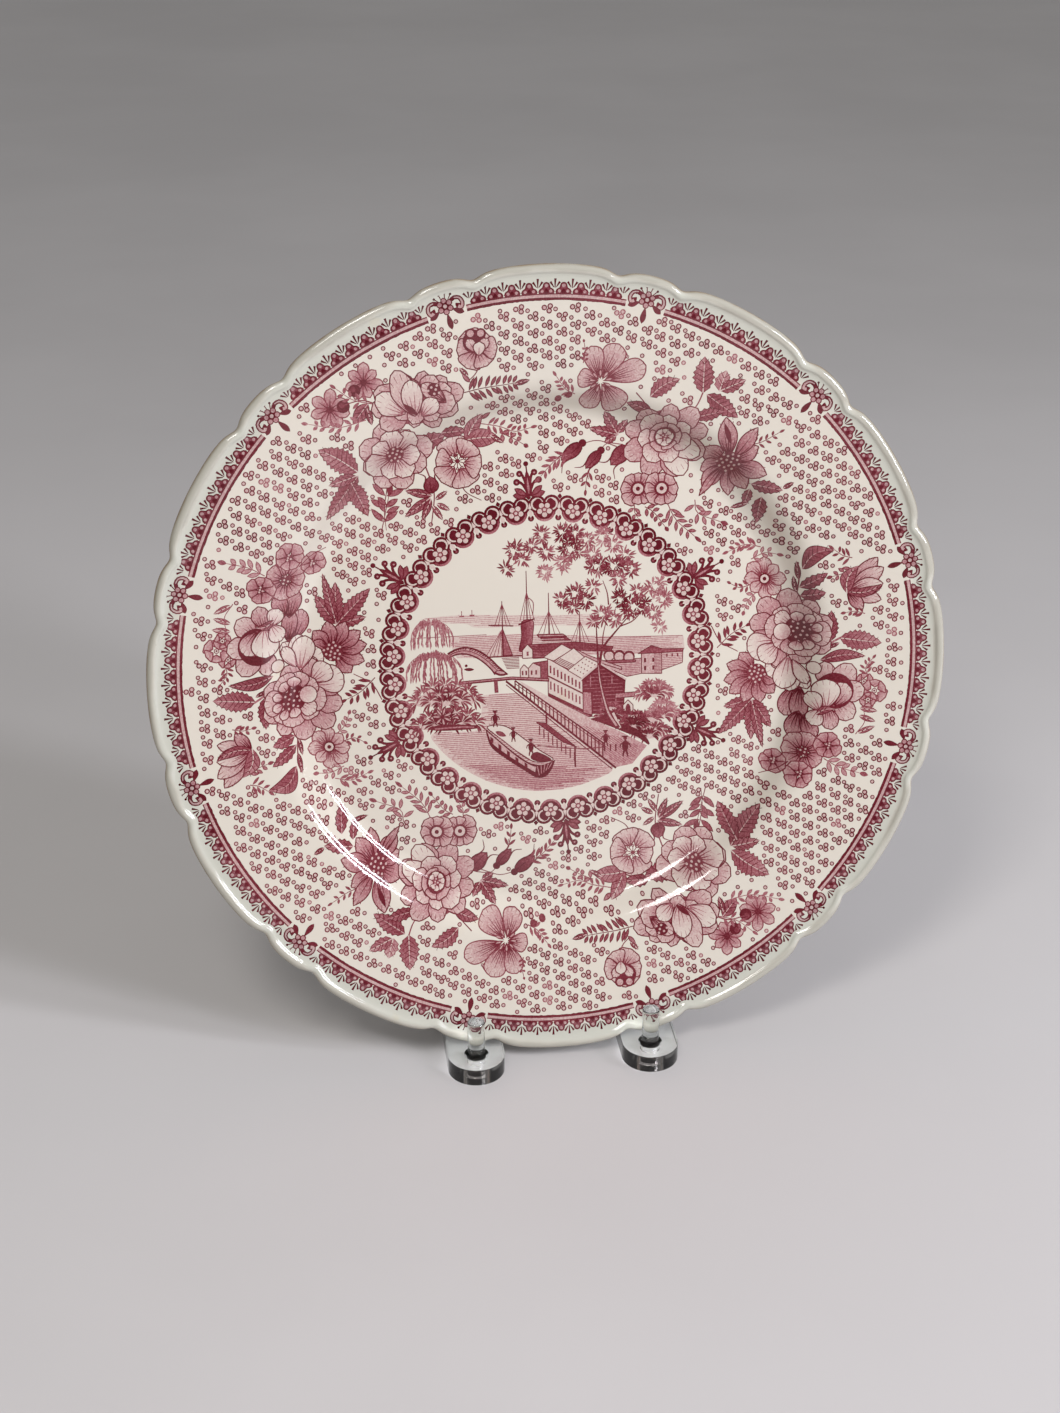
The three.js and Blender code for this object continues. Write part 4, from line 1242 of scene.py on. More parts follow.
def houses():
    """The low houses, and the long house with its plank gable."""
    panel(-6.6, 6.3, 9.4, 6.5, 16, 5.4, 22, 4.2, 21, 2.6, 8, 3.8, -5, 4.0, ink=0.62)
    hatch(spots_of(-6.2, 6.0, 9.4, 6.2, 20, 4.4, 20, 3.0, 8, 4.0, -5, 4.2), 0.5, 0.24, 0.9, slope=-2)
    panel(-8.3, 1.8, -8.3, 4.5, -6.6, 6.5, -4.9, 4.6, -4.9, 1.8, ink=0.05)
    panel(-4.9, 4.0, 3, 3.8, -1, 1.6, -4.9, 1.6, ink=0.5)
    hatch(spots_of(-4.9, 4.0, 3, 3.8, -1, 1.6, -4.9, 1.6), 0.55, 0.24, 0.8)
    rule(-6.6, 2.6, -6.6, 4.0, 0.7, 0.7)
    panel(-9.2, -4.8, -9.2, -1.9, -7.9, -0.3, -6.4, -1.8, -6.4, -4.8, ink=0.06)
    panel(-6.4, -4.8, -6.4, -1.6, -4.9, 0.1, -2.4, -1.2, -2.4, -5.2, ink=0.1)
    panel(-4.9, 0.1, 0, 0.6, 0, -5.6, -2.4, -5.2, -2.4, -1.2, ink=0.6)
    for x in (-8.4, -7.2, -5.4, -3.9):
        rule(x, -2.4, x, -3.9, 0.55, 0.75)
    # The long house: its wall, three pale roofs and a dark plank gable.
    panel(0, 1.4, 11.6, -6.0, 11.6, -17.8, 0, -11.4, ink=0.06)
    for k in range(9):
        x = 0.9 + 1.2 * k
        rule(x, -0.6 - 0.62 * x, x, -3.2 - 0.6 * x, 0.55, 0.72)
        rule(x, -6.0 - 0.58 * x, x, -8.8 - 0.57 * x, 0.5, 0.6)
    rules(0, -4.6, 11.6, -11.2, width=0.5, ink=0.85)
    rules(0, -10.8, 11.6, -17.2, width=0.9, ink=0.8)
    for k in range(6):
        x = 0.6 + 2.1 * k
        buttress = spots_of(x, -11.2 - 0.56 * x, x + 1.8, -12.1 - 0.56 * x, x + 0.6, -14.2 - 0.5 * x)
        art.fill(np.array(buttress), 0.88)
    panel(0, -11.6, 1.6, -12.2, 14.8, -19.2, 13.2, -19.4, ink=0.6)
    panel(-1.4, 1.8, 4.8, 5.9, 8.2, 3.9, 2.0, 0.4, ink=0.05)
    panel(2.0, 0.2, 8.8, 4.4, 13.6, 1.7, 6.8, -2.8, ink=0.05)
    panel(8.8, 4.4, 13.6, 1.7, 24.6, -2.8, 24.8, -3.8, 13, 0.6, ink=0.2)
    hatch(spots_of(2.4, 0.2, 4.6, 1.4, 9.6, -1.2, 6.8, -2.8), 0.5, 0.26, 0.8, slope=-28)
    panel(6.6, -3.0, 12.6, 1.4, 17.6, -1.4, 11.4, -6.2, ink=0.04)
    for i in range(4):
        for j in range(5):
            spot = 9.0 - 2.6j + i * (1.3 + 0.95j) + j * (0.95 - 0.62j)
            dot(spot, 0.24, 6, 0.8)
    gable = spots_of(11.4, -6.2, 17.5, -1.4, 26.0, -7.2, 25.2, -19.2, 14.6, -18.4, 14.2, -11.0, 11.4, -10.6)
    art.fill(np.array(gable), 0.88)
    for k in range(12):
        y = -3.4 - 1.25 * k
        reach = min(1.0, (k + 1) / 5)
        rule(17.4 - 5.6 * reach if k < 6 else 14.9, y, 17.6 + 7.4 * reach, y, 0.24, 0.5)
    for x, low, high in ((14.2, -5.2, -9.0), (21.4, -5.4, -8.4), (18.0, -11.2, -14.6), (22.6, -13.0, -16.4)):
        rule(x, low, x, high, 0.3, 0.4)
    rules(11.2, -6.2, 17.5, -1.2, 26.2, -7.2, width=0.6, ink=0.12)
    rules(11.2, -6.9, 17.5, -2.0, 26.0, -7.8, width=0.3, ink=DARK)
    panel(11.6, -10.6, 14.4, -11.0, 14.6, -18.8, 11.6, -17.8, ink=0.34)
    panel(22.4, -11.8, 29.0, -11.6, 29.0, -13.2, 22.4, -13.4, ink=0.36)
    panel(25.0, -18.8, 25.0, -16.0, 26.7, -14.2, 28.4, -16.0, 28.4, -18.8, ink=0.05)
    art.fill(blade(26.7 - 19j, 26.7 - 15.4j, 1.7, 1.1, 0.7), 0.8)


def far_shore():
    """The arched wharf and the square houses on the right."""
    panel(18, -0.4, 31.4, -0.2, 31.4, -5.4, 26.4, -6.2, 18, -1.8, ink=0.16, line=0.3, line_ink=0.8)
    hatch(spots_of(20, -0.6, 31, -0.4, 31, -5, 26.4, -6), 0.6, 0.24, 0.4)
    for x, y in ((20.6, 1.4), (23.9, 1.0), (27.2, 0.6)):
        dot(complex(x, y), 2.0, 16, 0.8)
        dot(complex(x, y - 0.3), 1.5, 14, 0.12)
    panel(18.6, -0.4, 29.4, -0.6, 29.4, -1.4, 18.6, -1.2, ink=0.5)
    panel(31.4, 1.4, 38.2, 1.4, 38.2, -5.8, 31.4, -5.4, ink=0.16)
    hatch(spots_of(35.6, 1.2, 38, 1.2, 38, -5.6, 35.6, -5.5), 0.5, 0.24, 0.6)
    panel(38.2, 1.8, 45.4, 1.6, 45.2, -2.4, 38.2, -4.6, ink=0.12, line=0.3)
    hatch(spots_of(38.2, 1.8, 45.2, 1.6, 45, -2.2, 38.2, -4.4), 0.6, 0.24, 0.4)
    panel(30.2, 1.4, 34.8, 3.9, 38.6, 2.6, 45.6, 2.4, 45.4, 1.5, 38.2, 1.3, ink=0.6)
    for x in (32.6, 35.4):
        for y in (-0.2, -2.9):
            rule(x, y, x, y - 1.5, 0.7, 0.88)
    for x in (40.0, 41.8, 43.6):
        rule(x, 0.9, x, -0.2, 0.5, 0.8)


def water():
    """The canal, and the tone of the quay beside it."""
    pool = spots_of(
        -24, -10.3, -8.4, -10.3, -1, -17, 10, -26.8, 21.4, -37, 14, -41.6, 4, -43.8, -8, -43.6, -20, -40,
        -30, -34, -37, -27, -38.6, -22, -24, -21.8, -22.6, -17, -22.4, -13,
    )
    area = loop(pool, 1.4)
    art.shade(area, -12j, -42j, 0.06, 0.12)
    hatch(area, 0.66, 0.28, 0.33, waver=3.5)
    low = loop(spots_of(-28, -33.4, -4, -35, 18, -38, 6, -43, -10, -43, -22, -38.4), 1.4)
    hatch(low, 0.66, 0.3, 0.42, waver=7.0)
    deck = spots_of(-10, -5.4, 0, -11.6, 14, -19.8, 24, -25, 33, -30.4, 28, -36.4, 22, -37.4, 0, -17.4)
    art.shade(np.array(deck), -8j, -34j, 0.08, 0.24)
    hatch(spots_of(10, -21, 24, -27, 31.4, -31, 27.6, -36, 22, -36.6), 0.62, 0.24, 0.42, slope=-38, waver=1.5)


def quay():
    """The quay's fence, the lower landing and its posts."""
    rules(-14, -5.6, 22.4, -37.6, width=0.7, ink=0.9)
    rules(-14, -6.8, 21, -37.8, width=0.34, ink=0.8)
    rules(-11, -5.6, 18.4, -28.8, width=0.5, ink=0.9)
    rules(-11, -6.6, 18.4, -29.8, width=0.26, ink=0.75)
    for k in range(24):
        x = -11 + 1.26 * k
        rule(x, -5.6 - 0.789 * (x + 11), x, -8.2 - 0.876 * (x + 11), 0.42, 0.86)
    panel(-4.2, -20.2, 4.4, -27.4, 9.2, -29.6, -1.2, -20.6, ink=0.7)
    for k in range(9):
        x = -3.2 + 1.45 * k
        rule(x, -20.9 - 0.82 * (x + 4), x, -24 - 0.84 * (x + 4), 0.4, 0.74)
    rule(8.6, -29.4, 8.6, -36.4, 0.55, 0.84)
    rule(-0.8, -17.6, -0.8, -20.8, 0.6, 0.88)
    draw(0.7, spots_of(-4, -28.2, 4, -29.4, 12, -30.2, 19, -30.0), 0.34)
    for x in (18.6, 20.6, 22.4):
        rule(x, -29.2, x, -31.6, 0.5, 0.84)


def canal_boat():
    """The boat in front, with its cabin windows and flat roof."""
    rim = curve(spots_of(-21.2, -21.4, -15.4, -27, -10.2, -31.6, -6, -34.4, -2, -34.9, 1.9, -33.5))
    keel = curve(spots_of(
        -21.0, -23.4, -19.4, -28, -14.4, -32.4, -8.6, -36.6, -4.6, -39.3, -1.6, -39.2, 0.6, -36.8, 1.9, -33.5,
    ))
    art.fill(np.concatenate([keel, rim[::-1]]), 0.92)
    waist = curve(spots_of(-20.6, -22.8, -19, -26.6, -14.2, -30.8, -8.8, -34.8, -5.0, -37.4))
    below_rim = curve(spots_of(-4.6, -35.6, -6.4, -34.9, -10.4, -32.2, -15.2, -27.8, -20.8, -22.4))
    art.fill(np.concatenate([waist, below_rim]), 0.16)
    for x, y in ((-19.2, -25), (-16.6, -27.6), (-13.8, -30), (-11, -32.4), (-8.0, -34.5)):
        panel(x - 0.5, y + 0.8, x + 0.5, y, x + 0.5, y - 1.7, x - 0.5, y - 0.9, ink=0.85, line=0)
    for k in range(5):
        rule(-4.2 + 1.25 * k, -35.4 + 0.25 * k, -3.6 + 0.75 * k, -38.6 + 0.5 * k, 0.3, 0.3)
    deck = loop(
        spots_of(
            -20.8, -21.2, -17.4, -20.2, -13.4, -21.4, -8, -25.8, -3.4, -29.6, 1.4, -33.2, -2, -34.2,
            -5.8, -33.7, -10, -30.9, -15.2, -26.3,
        ),
        1.1,
    )
    art.fill(deck, 0.92)
    art.fill(inset(deck, 0.34), 0.03)
    blob(-4.2, -30.4, 0.6, -33.2, -2.4, -34.0, -5.6, -33.2, -6.4, -31.8, step=1.0, ink=0.84)
    rules(-19.4, -22.4, -12, -29.0, -6.6, -33.0, width=0.26, ink=0.7)
    art.fill(blade(-18 - 22.6j, -14.4 - 24.4j, 1.7, 1.0, 0.8), 0.6)


def trees():
    """The thin tree beside the long house and the foliage over the view."""
    draw(0.86, spots_of(23.2, -23.8, 20.0, -18, 17.6, -8, 16.8, 1, 16.4, 11.6), 1.7, 0.34)
    draw(0.2, spots_of(22.8, -23.0, 19.8, -17.6, 17.5, -8, 16.8, 0), 0.7, 0.16)
    draw(0.82, spots_of(17.2, -2, 18.6, 4, 22.6, 9.0, 27.4, 14.4), 1.0, 0.3)
    draw(0.75, spots_of(18.4, 3.4, 18.6, 8, 19.6, 12.4), 0.5, 0.24)
    draw(0.75, spots_of(20.6, 18.4, 20.2, 22.4, 18.8, 26.6), 0.5, 0.24)
    draw(0.75, spots_of(24.4, 11, 28.6, 12.6, 32, 16), 0.5, 0.24)
    crowns = (
        (-10.4, 37.8, 3.6, 0.6), (-12.8, 31.6, 2.6, 0.72), (-7.6, 34.6, 2.6, 0.66), (-1.0, 43.0, 3.2, 0.66),
        (-4.4, 39.2, 2.8, 0.7), (0.4, 37.0, 3.0, 0.66),
        (-0.4, 30.4, 3.0, 0.4), (5.6, 43.2, 3.4, 0.84), (10.2, 42.8, 3.2, 0.84), (8.6, 37.4, 5.0, 0.86),
        (13.6, 40.4, 3.2, 0.56), (5.8, 33.2, 3.2, 0.42),
        (18.8, 41.2, 3.6, 0.44), (22.6, 38.6, 3.0, 0.4), (15.6, 35.6, 3.2, 0.5), (17.0, 31.6, 4.0, 0.86),
        (22.6, 31.4, 4.4, 0.84), (26.6, 34.6, 3.2, 0.6),
        (28.6, 30.2, 3.0, 0.6), (24.2, 27.0, 3.0, 0.5), (9.6, 22.8, 3.6, 0.86), (5.0, 20.8, 2.8, 0.86),
        (13.2, 20.4, 3.2, 0.84), (15.6, 24.6, 2.4, 0.6),
        (8.8, 18.0, 2.2, 0.8), (29.4, 17.2, 5.2, 0.84), (24.6, 20.0, 3.4, 0.84), (30.6, 22.4, 3.0, 0.7),
        (36.6, 23.8, 4.0, 0.42), (38.8, 19.4, 3.4, 0.42),
        (35.6, 15.0, 3.2, 0.5), (37.8, 10.0, 2.6, 0.36), (18.4, 15.2, 3.6, 0.6), (22.6, 13.6, 2.8, 0.6),
        (15.6, 12.8, 2.0, 0.8),
    )
    for x, y, size, ink in crowns:
        tuft(x, y, size, ink)


def shrubs():
    """Willows and bushes on the left bank, and bushes on the right."""
    willow(-38.2, 15.0, 6.6, 9.0, 15, 0.36)
    willow(-37.8, 4.2, 8.4, 9.6, 19, 0.44)
    bush(-34.2, -12.6, 11.4, 8.6, 0.8)
    bush(-33.4, -20.6, 11.0, 7.4, 0.92)
    for k in range(7):
        out = unit(20 + 52 * k)
        art.fill(blade(-35.4 - 16.6j, -35.4 - 16.6j + out * 3.6, 1.3, 1.1, 0.9), 0.9)
        art.fill(blade(-35.4 - 16.6j + out * 0.6, -35.4 - 16.6j + out * 3.2, 0.6, 1.1, 0.9), 0.2)
    blob(-40.4, -20.4, -35, -21.4, -24, -21.2, -23.6, -20.2, -31, -19.4, -36, -19.2, step=1.2, ink=0.88)
    draw(0.4, spots_of(-38, -20.6, -30, -20.4, -25, -20.7), 0.5)
    bush(35.6, -13.6, 6.0, 5.6, 0.6, 3.4)
    bush(38.4, -21.0, 5.0, 6.2, 0.44, 3.4)
    bush(34.0, -27.6, 6.0, 8.6, 0.72, 3.4)
    bush(28.6, -23.8, 4.6, 5.6, 0.95, 3.0)
    bush(20.8, -20.8, 4.8, 5.8, 0.95, 2.8)
    blob(
        14, -20.0, 20, -19.8, 24.4, -22.4, 29.6, -24.4, 33.4, -28.4, 33.6, -30.2, 30.0, -27.4, 26, -25.6,
        21.4, -23.4, 17, -21.4, step=1.2, ink=0.88,
    )
    rule(21.6, -18.4, 24.0, -23.8, 0.8, 0.1)


def draw_view():
    """The view from the back forwards, with five tiny generic figures."""
    distance()
    far_shore()
    shipping()
    houses()
    footbridge()
    water()
    quay()
    shrubs()
    canal_boat()
    trees()
    for x, y, size in (
        (-17.9, -17.8, 0.9), (-12.0, -23.6, 0.8), (-6.2, -28.2, 0.95), (19.0, -26.6, 0.9),
        (25.6, -29.6, 1.15),
    ):
        figure(x, y, size)


# ---- Meshes ----

RIM_STEP = 0.4  # degrees between points of the sheets' outer edge
CIRCLE_STEP = 60  # millimetre-degrees between points where two sheets meet
SEED_STEP = 1.5  # between the loose points that keep triangles small
SEED_REACH = 121
SHEET_REACH = 130
CURVED_RINGS = (122.0, 123.0, 124.0, 125.0, 125.7)  # radii where the face curves up to the lip
CURVED_STEP = 0.6
CUT_TOLERANCE = 1e-5
NOTCH_STEP = 0.34  # degrees between the body's sections at a notch
OPEN_STEP = 0.9  # and between notches
NOTCH_PULL = 0.25
LIP_WEAR_MIDDLE = 18  # degrees round the lip's section
LIP_WEAR_REACH = 42
LIP_SLACK = 1.05
FOOT_WEAR = 0.55  # on the foot ring: lower than FOOT_LAND and outside FOOT_INSIDE
FOOT_LAND = 0.2
FOOT_INSIDE = 70


def build_print(zones):
    """The sheets of the printed face, one for each zone, all cut from one triangulation."""
    rim = edge_spot(GLAZE_EDGE, np.arange(0, 360, RIM_STEP))
    joins = sorted({inner for _, inner, _, _ in zones if inner > 0})
    circles = [polar(r, np.arange(0, 360, CIRCLE_STEP / r)) for r in joins]
    outlines = ground.outlines + art.outlines
    closed = [rim, *circles, *outlines]
    up_and_down = 1j * np.arange(-SHEET_REACH, SHEET_REACH + 0.5, 1.0)
    rows = np.arange(1 - SHEET_REACH, SHEET_REACH, SEED_STEP)
    stagger = SEED_STEP / 2 * (np.arange(len(rows)) % 2)
    seeds = (rows[:, None] + stagger[None, :] + 1j * rows[None, :]).ravel()
    curved = [edge_spot(r, np.arange(0, 360, CURVED_STEP)) for r in CURVED_RINGS]
    spots = np.concatenate([*closed, up_and_down, seeds[np.abs(seeds) < SEED_REACH], *curved])
    edges = []
    start = 0
    for outline in closed:
        count = len(outline)
        edges += [(start + i, start + (i + 1) % count) for i in range(count)]
        start += count
    edges += [(start + i, start + i + 1) for i in range(len(up_and_down) - 1)]
    flat = [Vector((p.real, p.imag)) for p in spots]
    made = geometry.delaunay_2d_cdt(flat, edges, [], 0, CUT_TOLERANCE, False)
    points = np.array([tuple(v) for v in made[0]])
    spot = points[:, 0] + 1j * points[:, 1]
    triangles = np.array([f for f in made[2] if len(f) == 3], np.int32)
    middle = spot[triangles].mean(1)
    inside = np.abs(middle) < np.abs(edge_spot(GLAZE_EDGE, np.degrees(np.angle(middle))))
    top = topmost(middle, outlines)
    bare = (0j, 0j, 0, 0, 1)  # for triangles that no shape covers
    inks = np.array([bare] + ground.inks + art.inks)
    near, run, first, last, power = (inks[top + 1, i][:, None] for i in range(5))
    share = np.clip(((spot[triangles] - near) * np.conj(run)).real, 0, 1) ** power.real
    ink = first.real + (last.real - first.real) * share
    positions = to_frame(spot, face_height(spot))
    normals = face_normal(spot) @ AXES
    sheets = []
    for name, low, high, side in zones:
        chosen = inside & (np.abs(middle) > low) & (np.abs(middle) < high) & (middle.real * side >= 0)
        used, corners = np.unique(triangles[chosen], return_inverse=True)
        sheet = new_mesh(name, positions[used], corners.reshape(-1, 3))
        layer = sheet.data.attributes.new("ink", "FLOAT", "CORNER")
        layer.data.foreach_set("value", ink[chosen].astype(np.float32).ravel())
        sheet.data.normals_split_custom_set_from_vertices(normals[used].tolist())
        sheets.append(sheet)
    return sheets


def fine_angles():
    """Angles round the plate, close together at the notches."""
    angles = []
    degrees = 0.0
    while degrees < 360 - 0.01:
        angles.append(degrees)
        degrees += NOTCH_STEP if notches(np.array(degrees)) > NOTCH_PULL else OPEN_STEP
    return np.array(angles)


def build_body():
    """The glazed body as one closed skin, with a shallow recess that the printed face fills."""
    keep = FRONT[:, 0] < GLAZE_EDGE
    floor = FRONT[keep] - [0, GLAZE_RECESS]
    edge_height = float(np.interp(GLAZE_EDGE, FRONT[:, 0], FRONT[:, 1]))
    lip_start = [(GLAZE_EDGE, edge_height - GLAZE_RECESS), (GLAZE_EDGE, edge_height)]
    section = np.concatenate([floor, lip_start, FRONT[~keep], ROLL, BACK])
    angles = fine_angles()
    turn = len(angles)
    rings = section[1:-1]
    spots = np.concatenate([edge_spot(r, angles) for r, _ in rings])
    heights = np.concatenate([h - FLUTE_DEPTH * scallop_share(r, notches(angles)) for r, h in rings])
    spots = np.concatenate([[0j], spots, [0j]])
    heights = np.concatenate([[section[0][1]], heights, [section[-1][1]]])
    quads = []
    for k in range(turn):
        after = (k + 1) % turn
        quads.append((0, 1 + k, 1 + after))
        for i in range(len(rings) - 1):
            a = 1 + i * turn
            b = a + turn
            quads.append((a + k, b + k, b + after, a + after))
        a = 1 + (len(rings) - 1) * turn
        quads.append((len(spots) - 1, a + after, a + k))
    body = new_mesh("plate_body", to_frame(spots, heights), quads=quads)
    round_lip = np.degrees(np.arctan2(rings[:, 1] - LIP[1], rings[:, 0] - LIP[0]))
    on_lip = np.hypot(rings[:, 1] - LIP[1], rings[:, 0] - LIP[0]) < LIP_RADIUS * LIP_SLACK
    on_foot = (rings[:, 1] < FOOT_LAND) & (rings[:, 0] > FOOT_INSIDE)
    lip_wear = smooth(1 - np.abs(round_lip - LIP_WEAR_MIDDLE) / LIP_WEAR_REACH)
    worn = lip_wear * on_lip + FOOT_WEAR * on_foot
    layer = body.data.attributes.new("edge", "FLOAT", "POINT")
    layer.data.foreach_set("value", np.concatenate([[0], np.repeat(worn, turn), [0]]).astype(np.float32))
    return body


# ---- Materials ----


class Nodes:
    """A material's node tree, built by short calls."""

    def __init__(self, name):
        self.material = bpy.data.materials.new(name)
        self.material.use_nodes = True
        self.tree = self.material.node_tree
        self.shader = self.tree.nodes["Principled BSDF"]
        self.place = self.add("ShaderNodeTexCoord").outputs["Object"]

    def add(self, kind, **settings):
        """A new node with its settings."""
        node = self.tree.nodes.new(kind)
        for key, value in settings.items():
            setattr(node, key, value)
        return node

    def link(self, source, target):
        """Joins a node's output to an input, or sets the input to a value."""
        if isinstance(source, bpy.types.NodeSocket):
            self.tree.links.new(source, target)
        else:
            target.default_value = source

    def maths(self, operation, a, b=0.0, clamp=False):
        """The result of a sum on one or two values."""
        node = self.add("ShaderNodeMath", operation=operation, use_clamp=clamp)
        self.link(a, node.inputs[0])
        self.link(b, node.inputs[1])
        return node.outputs[0]

    def noise(self, scale, detail=3.0, roughness=0.55, *, seed):
        """Noise over the object, with its scale per metre."""
        node = self.add("ShaderNodeTexNoise", noise_dimensions="4D")
        self.link(self.place, node.inputs["Vector"])
        node.inputs["W"].default_value = seed
        node.inputs["Scale"].default_value = scale
        node.inputs["Detail"].default_value = detail
        node.inputs["Roughness"].default_value = roughness
        return node.outputs["Fac"]

    def span(self, value, low, high, to_low=0.0, to_high=1.0):
        """A value taken smoothly from one range to another."""
        node = self.add("ShaderNodeMapRange", interpolation_type="SMOOTHSTEP")
        self.link(value, node.inputs["Value"])
        for key, number in (("From Min", low), ("From Max", high), ("To Min", to_low), ("To Max", to_high)):
            node.inputs[key].default_value = number
        return node.outputs["Result"]

    def mix(self, share, a, b, kind="MIX"):
        """Two colours mixed."""
        node = self.add("ShaderNodeMix", data_type="RGBA", blend_type=kind)
        self.link(share, node.inputs["Factor"])
        self.link(a, node.inputs["A"])
        self.link(b, node.inputs["B"])
        return node.outputs["Result"]

    def bump(self, height, strength, distance):
        """Sets the shader's bump."""
        node = self.add("ShaderNodeBump")
        self.link(height, node.inputs["Height"])
        node.inputs["Strength"].default_value = strength
        node.inputs["Distance"].default_value = distance
        self.link(node.outputs["Normal"], self.shader.inputs["Normal"])

    def plain(self, **values):
        """Sets the shader's own sockets to single values."""
        for name, value in values.items():
            self.shader.inputs[name.replace("_", " ")].default_value = value


def linear(*rgb):
    """A colour given as 0 to 255 on a screen, as light."""
    shares = [c / 255 for c in rgb]
    return [*((s / 12.92 if s <= 0.04045 else ((s + 0.055) / 1.055) ** 2.4) for s in shares), 1.0]


GLAZE = linear(218, 209, 195)
MOTTLE = linear(214, 206, 194)
STAIN = linear(205, 186, 140)
POOLED_GLAZE = linear(188, 190, 178)
LIP_GLAZE = linear(180, 176, 163)
WORN = linear(134, 106, 70)
SPECK = linear(112, 100, 70)
MOTTLE_SHARE = 0.35
POOL_SHARE = 0.7
STAIN_SHARE = 0.35
WEAR_SHARE = 0.85
SPECK_SHARE = 0.6
INK_PASS = (0.16, 0.0145, 0.028)  # how much red, green and blue full ink lets through
INK_GRAIN = 2.2
# Distances from the plate's axis, in metres, between which a colour comes in or goes out.
POOL_IN = (0.1185, 0.1235)
POOL_OUT = (0.1285, 0.1262)
LIP_IN = (0.1262, 0.1282)
POOL_WANDER = 0.006

ACRYLIC = linear(232, 234, 232)
# Painted shade: the darker colour given to the steep sides of the feet.
ACRYLIC_PAINTED_SHADE = linear(146, 142, 139)
ACRYLIC_SHADOW = (0.8, 0.81, 0.81, 1)  # how much light its shadow lets through
ACRYLIC_ROUGHNESS = (0.01, 0.09)
FLAT_TO_SHADED_SIDE = (0.75, 0.2)  # how steep a side must be for the painted shade, from the upward part of its normal
FOOT_HEIGHT = (0.0075, 0.006)  # the painted shade stays on the feet, below this height and in front
FOOT_DEPTH = (0.0, -0.02)
FLOOR_LIGHT = linear(207, 203, 202)
FLOOR_DARK = linear(200, 196, 195)


def plate_distance(nodes):
    """Distance in metres from the plate's axis."""
    moved = nodes.add("ShaderNodeVectorMath", operation="SUBTRACT")
    nodes.link(nodes.place, moved.inputs[0])
    moved.inputs[1].default_value = CENTRE
    out = nodes.add("ShaderNodeVectorMath", operation="CROSS_PRODUCT")
    nodes.link(moved.outputs[0], out.inputs[0])
    out.inputs[1].default_value = OUT
    length = nodes.add("ShaderNodeVectorMath", operation="LENGTH")
    nodes.link(out.outputs[0], length.inputs[0])
    return length.outputs["Value"]


def glaze_colour(nodes):
    """Cream glaze that pools blue-grey inside the lip, with faint stains, and the distance from the axis."""
    away = plate_distance(nodes)
    wander = nodes.maths("MULTIPLY", nodes.maths("SUBTRACT", nodes.noise(45.0, seed=2.0), 0.5), POOL_WANDER)
    away = nodes.maths("ADD", away, wander)
    pooled = nodes.maths("MULTIPLY", nodes.span(away, *POOL_IN), nodes.span(away, *POOL_OUT))
    mottled = nodes.maths("MULTIPLY", nodes.span(nodes.noise(22.0, seed=5.0), 0.35, 0.7), MOTTLE_SHARE)
    colour = nodes.mix(mottled, GLAZE, MOTTLE)
    colour = nodes.mix(nodes.maths("MULTIPLY", pooled, POOL_SHARE), colour, POOLED_GLAZE)
    stains = nodes.maths("MULTIPLY", nodes.span(nodes.noise(60.0, 2.0, seed=9.0), 0.7, 0.8), STAIN_SHARE)
    return nodes.mix(stains, colour, STAIN), away


def glaze_surface(nodes):
    """The glaze's gloss and its slightly uneven surface."""
    nodes.link(
        nodes.span(nodes.noise(160.0, seed=3.0), 0.3, 0.7, 0.07, 0.13), nodes.shader.inputs["Roughness"],
    )
    nodes.bump(nodes.noise(110.0, 2.0, seed=4.0), 0.16, 0.0006)
    nodes.plain(IOR=1.5, Coat_Weight=0.35, Coat_Roughness=0.05)


def printed_glaze():
    """The glaze over the print: each colour of light passes the ink by its own power."""
    nodes = Nodes("printed_glaze")
    colour, _ = glaze_colour(nodes)
    ink = nodes.add("ShaderNodeAttribute", attribute_name="ink").outputs["Fac"]
    strength = nodes.span(nodes.noise(28.0, seed=7.0), 0.3, 0.7, 0.82, 1.08)
    grain = nodes.maths(
        "MULTIPLY", nodes.maths("SUBTRACT", nodes.noise(1700.0, 1.0, seed=8.0), 0.5), INK_GRAIN,
    )
    room = nodes.maths("MULTIPLY", ink, nodes.maths("SUBTRACT", 1.15, ink, clamp=True))
    ink = nodes.maths("ADD", nodes.maths("MULTIPLY", ink, strength), nodes.maths("MULTIPLY", grain, room))
    passed = nodes.add("ShaderNodeCombineXYZ")
    for i, share in enumerate(INK_PASS):
        nodes.link(nodes.maths("POWER", share, ink), passed.inputs[i])
    nodes.link(nodes.mix(1.0, colour, passed.outputs[0], "MULTIPLY"), nodes.shader.inputs["Base Color"])
    glaze_surface(nodes)
    return nodes.material


def body_glaze():
    """The glaze of the lip and back, worn through along the lip and on the foot ring, with specks."""
    nodes = Nodes("body_glaze")
    colour, away = glaze_colour(nodes)
    colour = nodes.mix(nodes.span(away, *LIP_IN), colour, LIP_GLAZE)
    edge = nodes.add("ShaderNodeAttribute", attribute_name="edge").outputs["Fac"]
    wear = nodes.maths(
        "MULTIPLY", nodes.span(nodes.noise(75.0, 5.0, 0.7, seed=11.0), 0.34, 0.62, 0.25, 1.0), edge,
    )
    colour = nodes.mix(nodes.maths("MULTIPLY", wear, WEAR_SHARE), colour, WORN)
    specks = nodes.span(nodes.noise(330.0, 2.0, seed=13.0), 0.735, 0.775)
    colour = nodes.mix(nodes.maths("MULTIPLY", specks, SPECK_SHARE), colour, SPECK)
    nodes.link(colour, nodes.shader.inputs["Base Color"])
    glaze_surface(nodes)
    return nodes.material


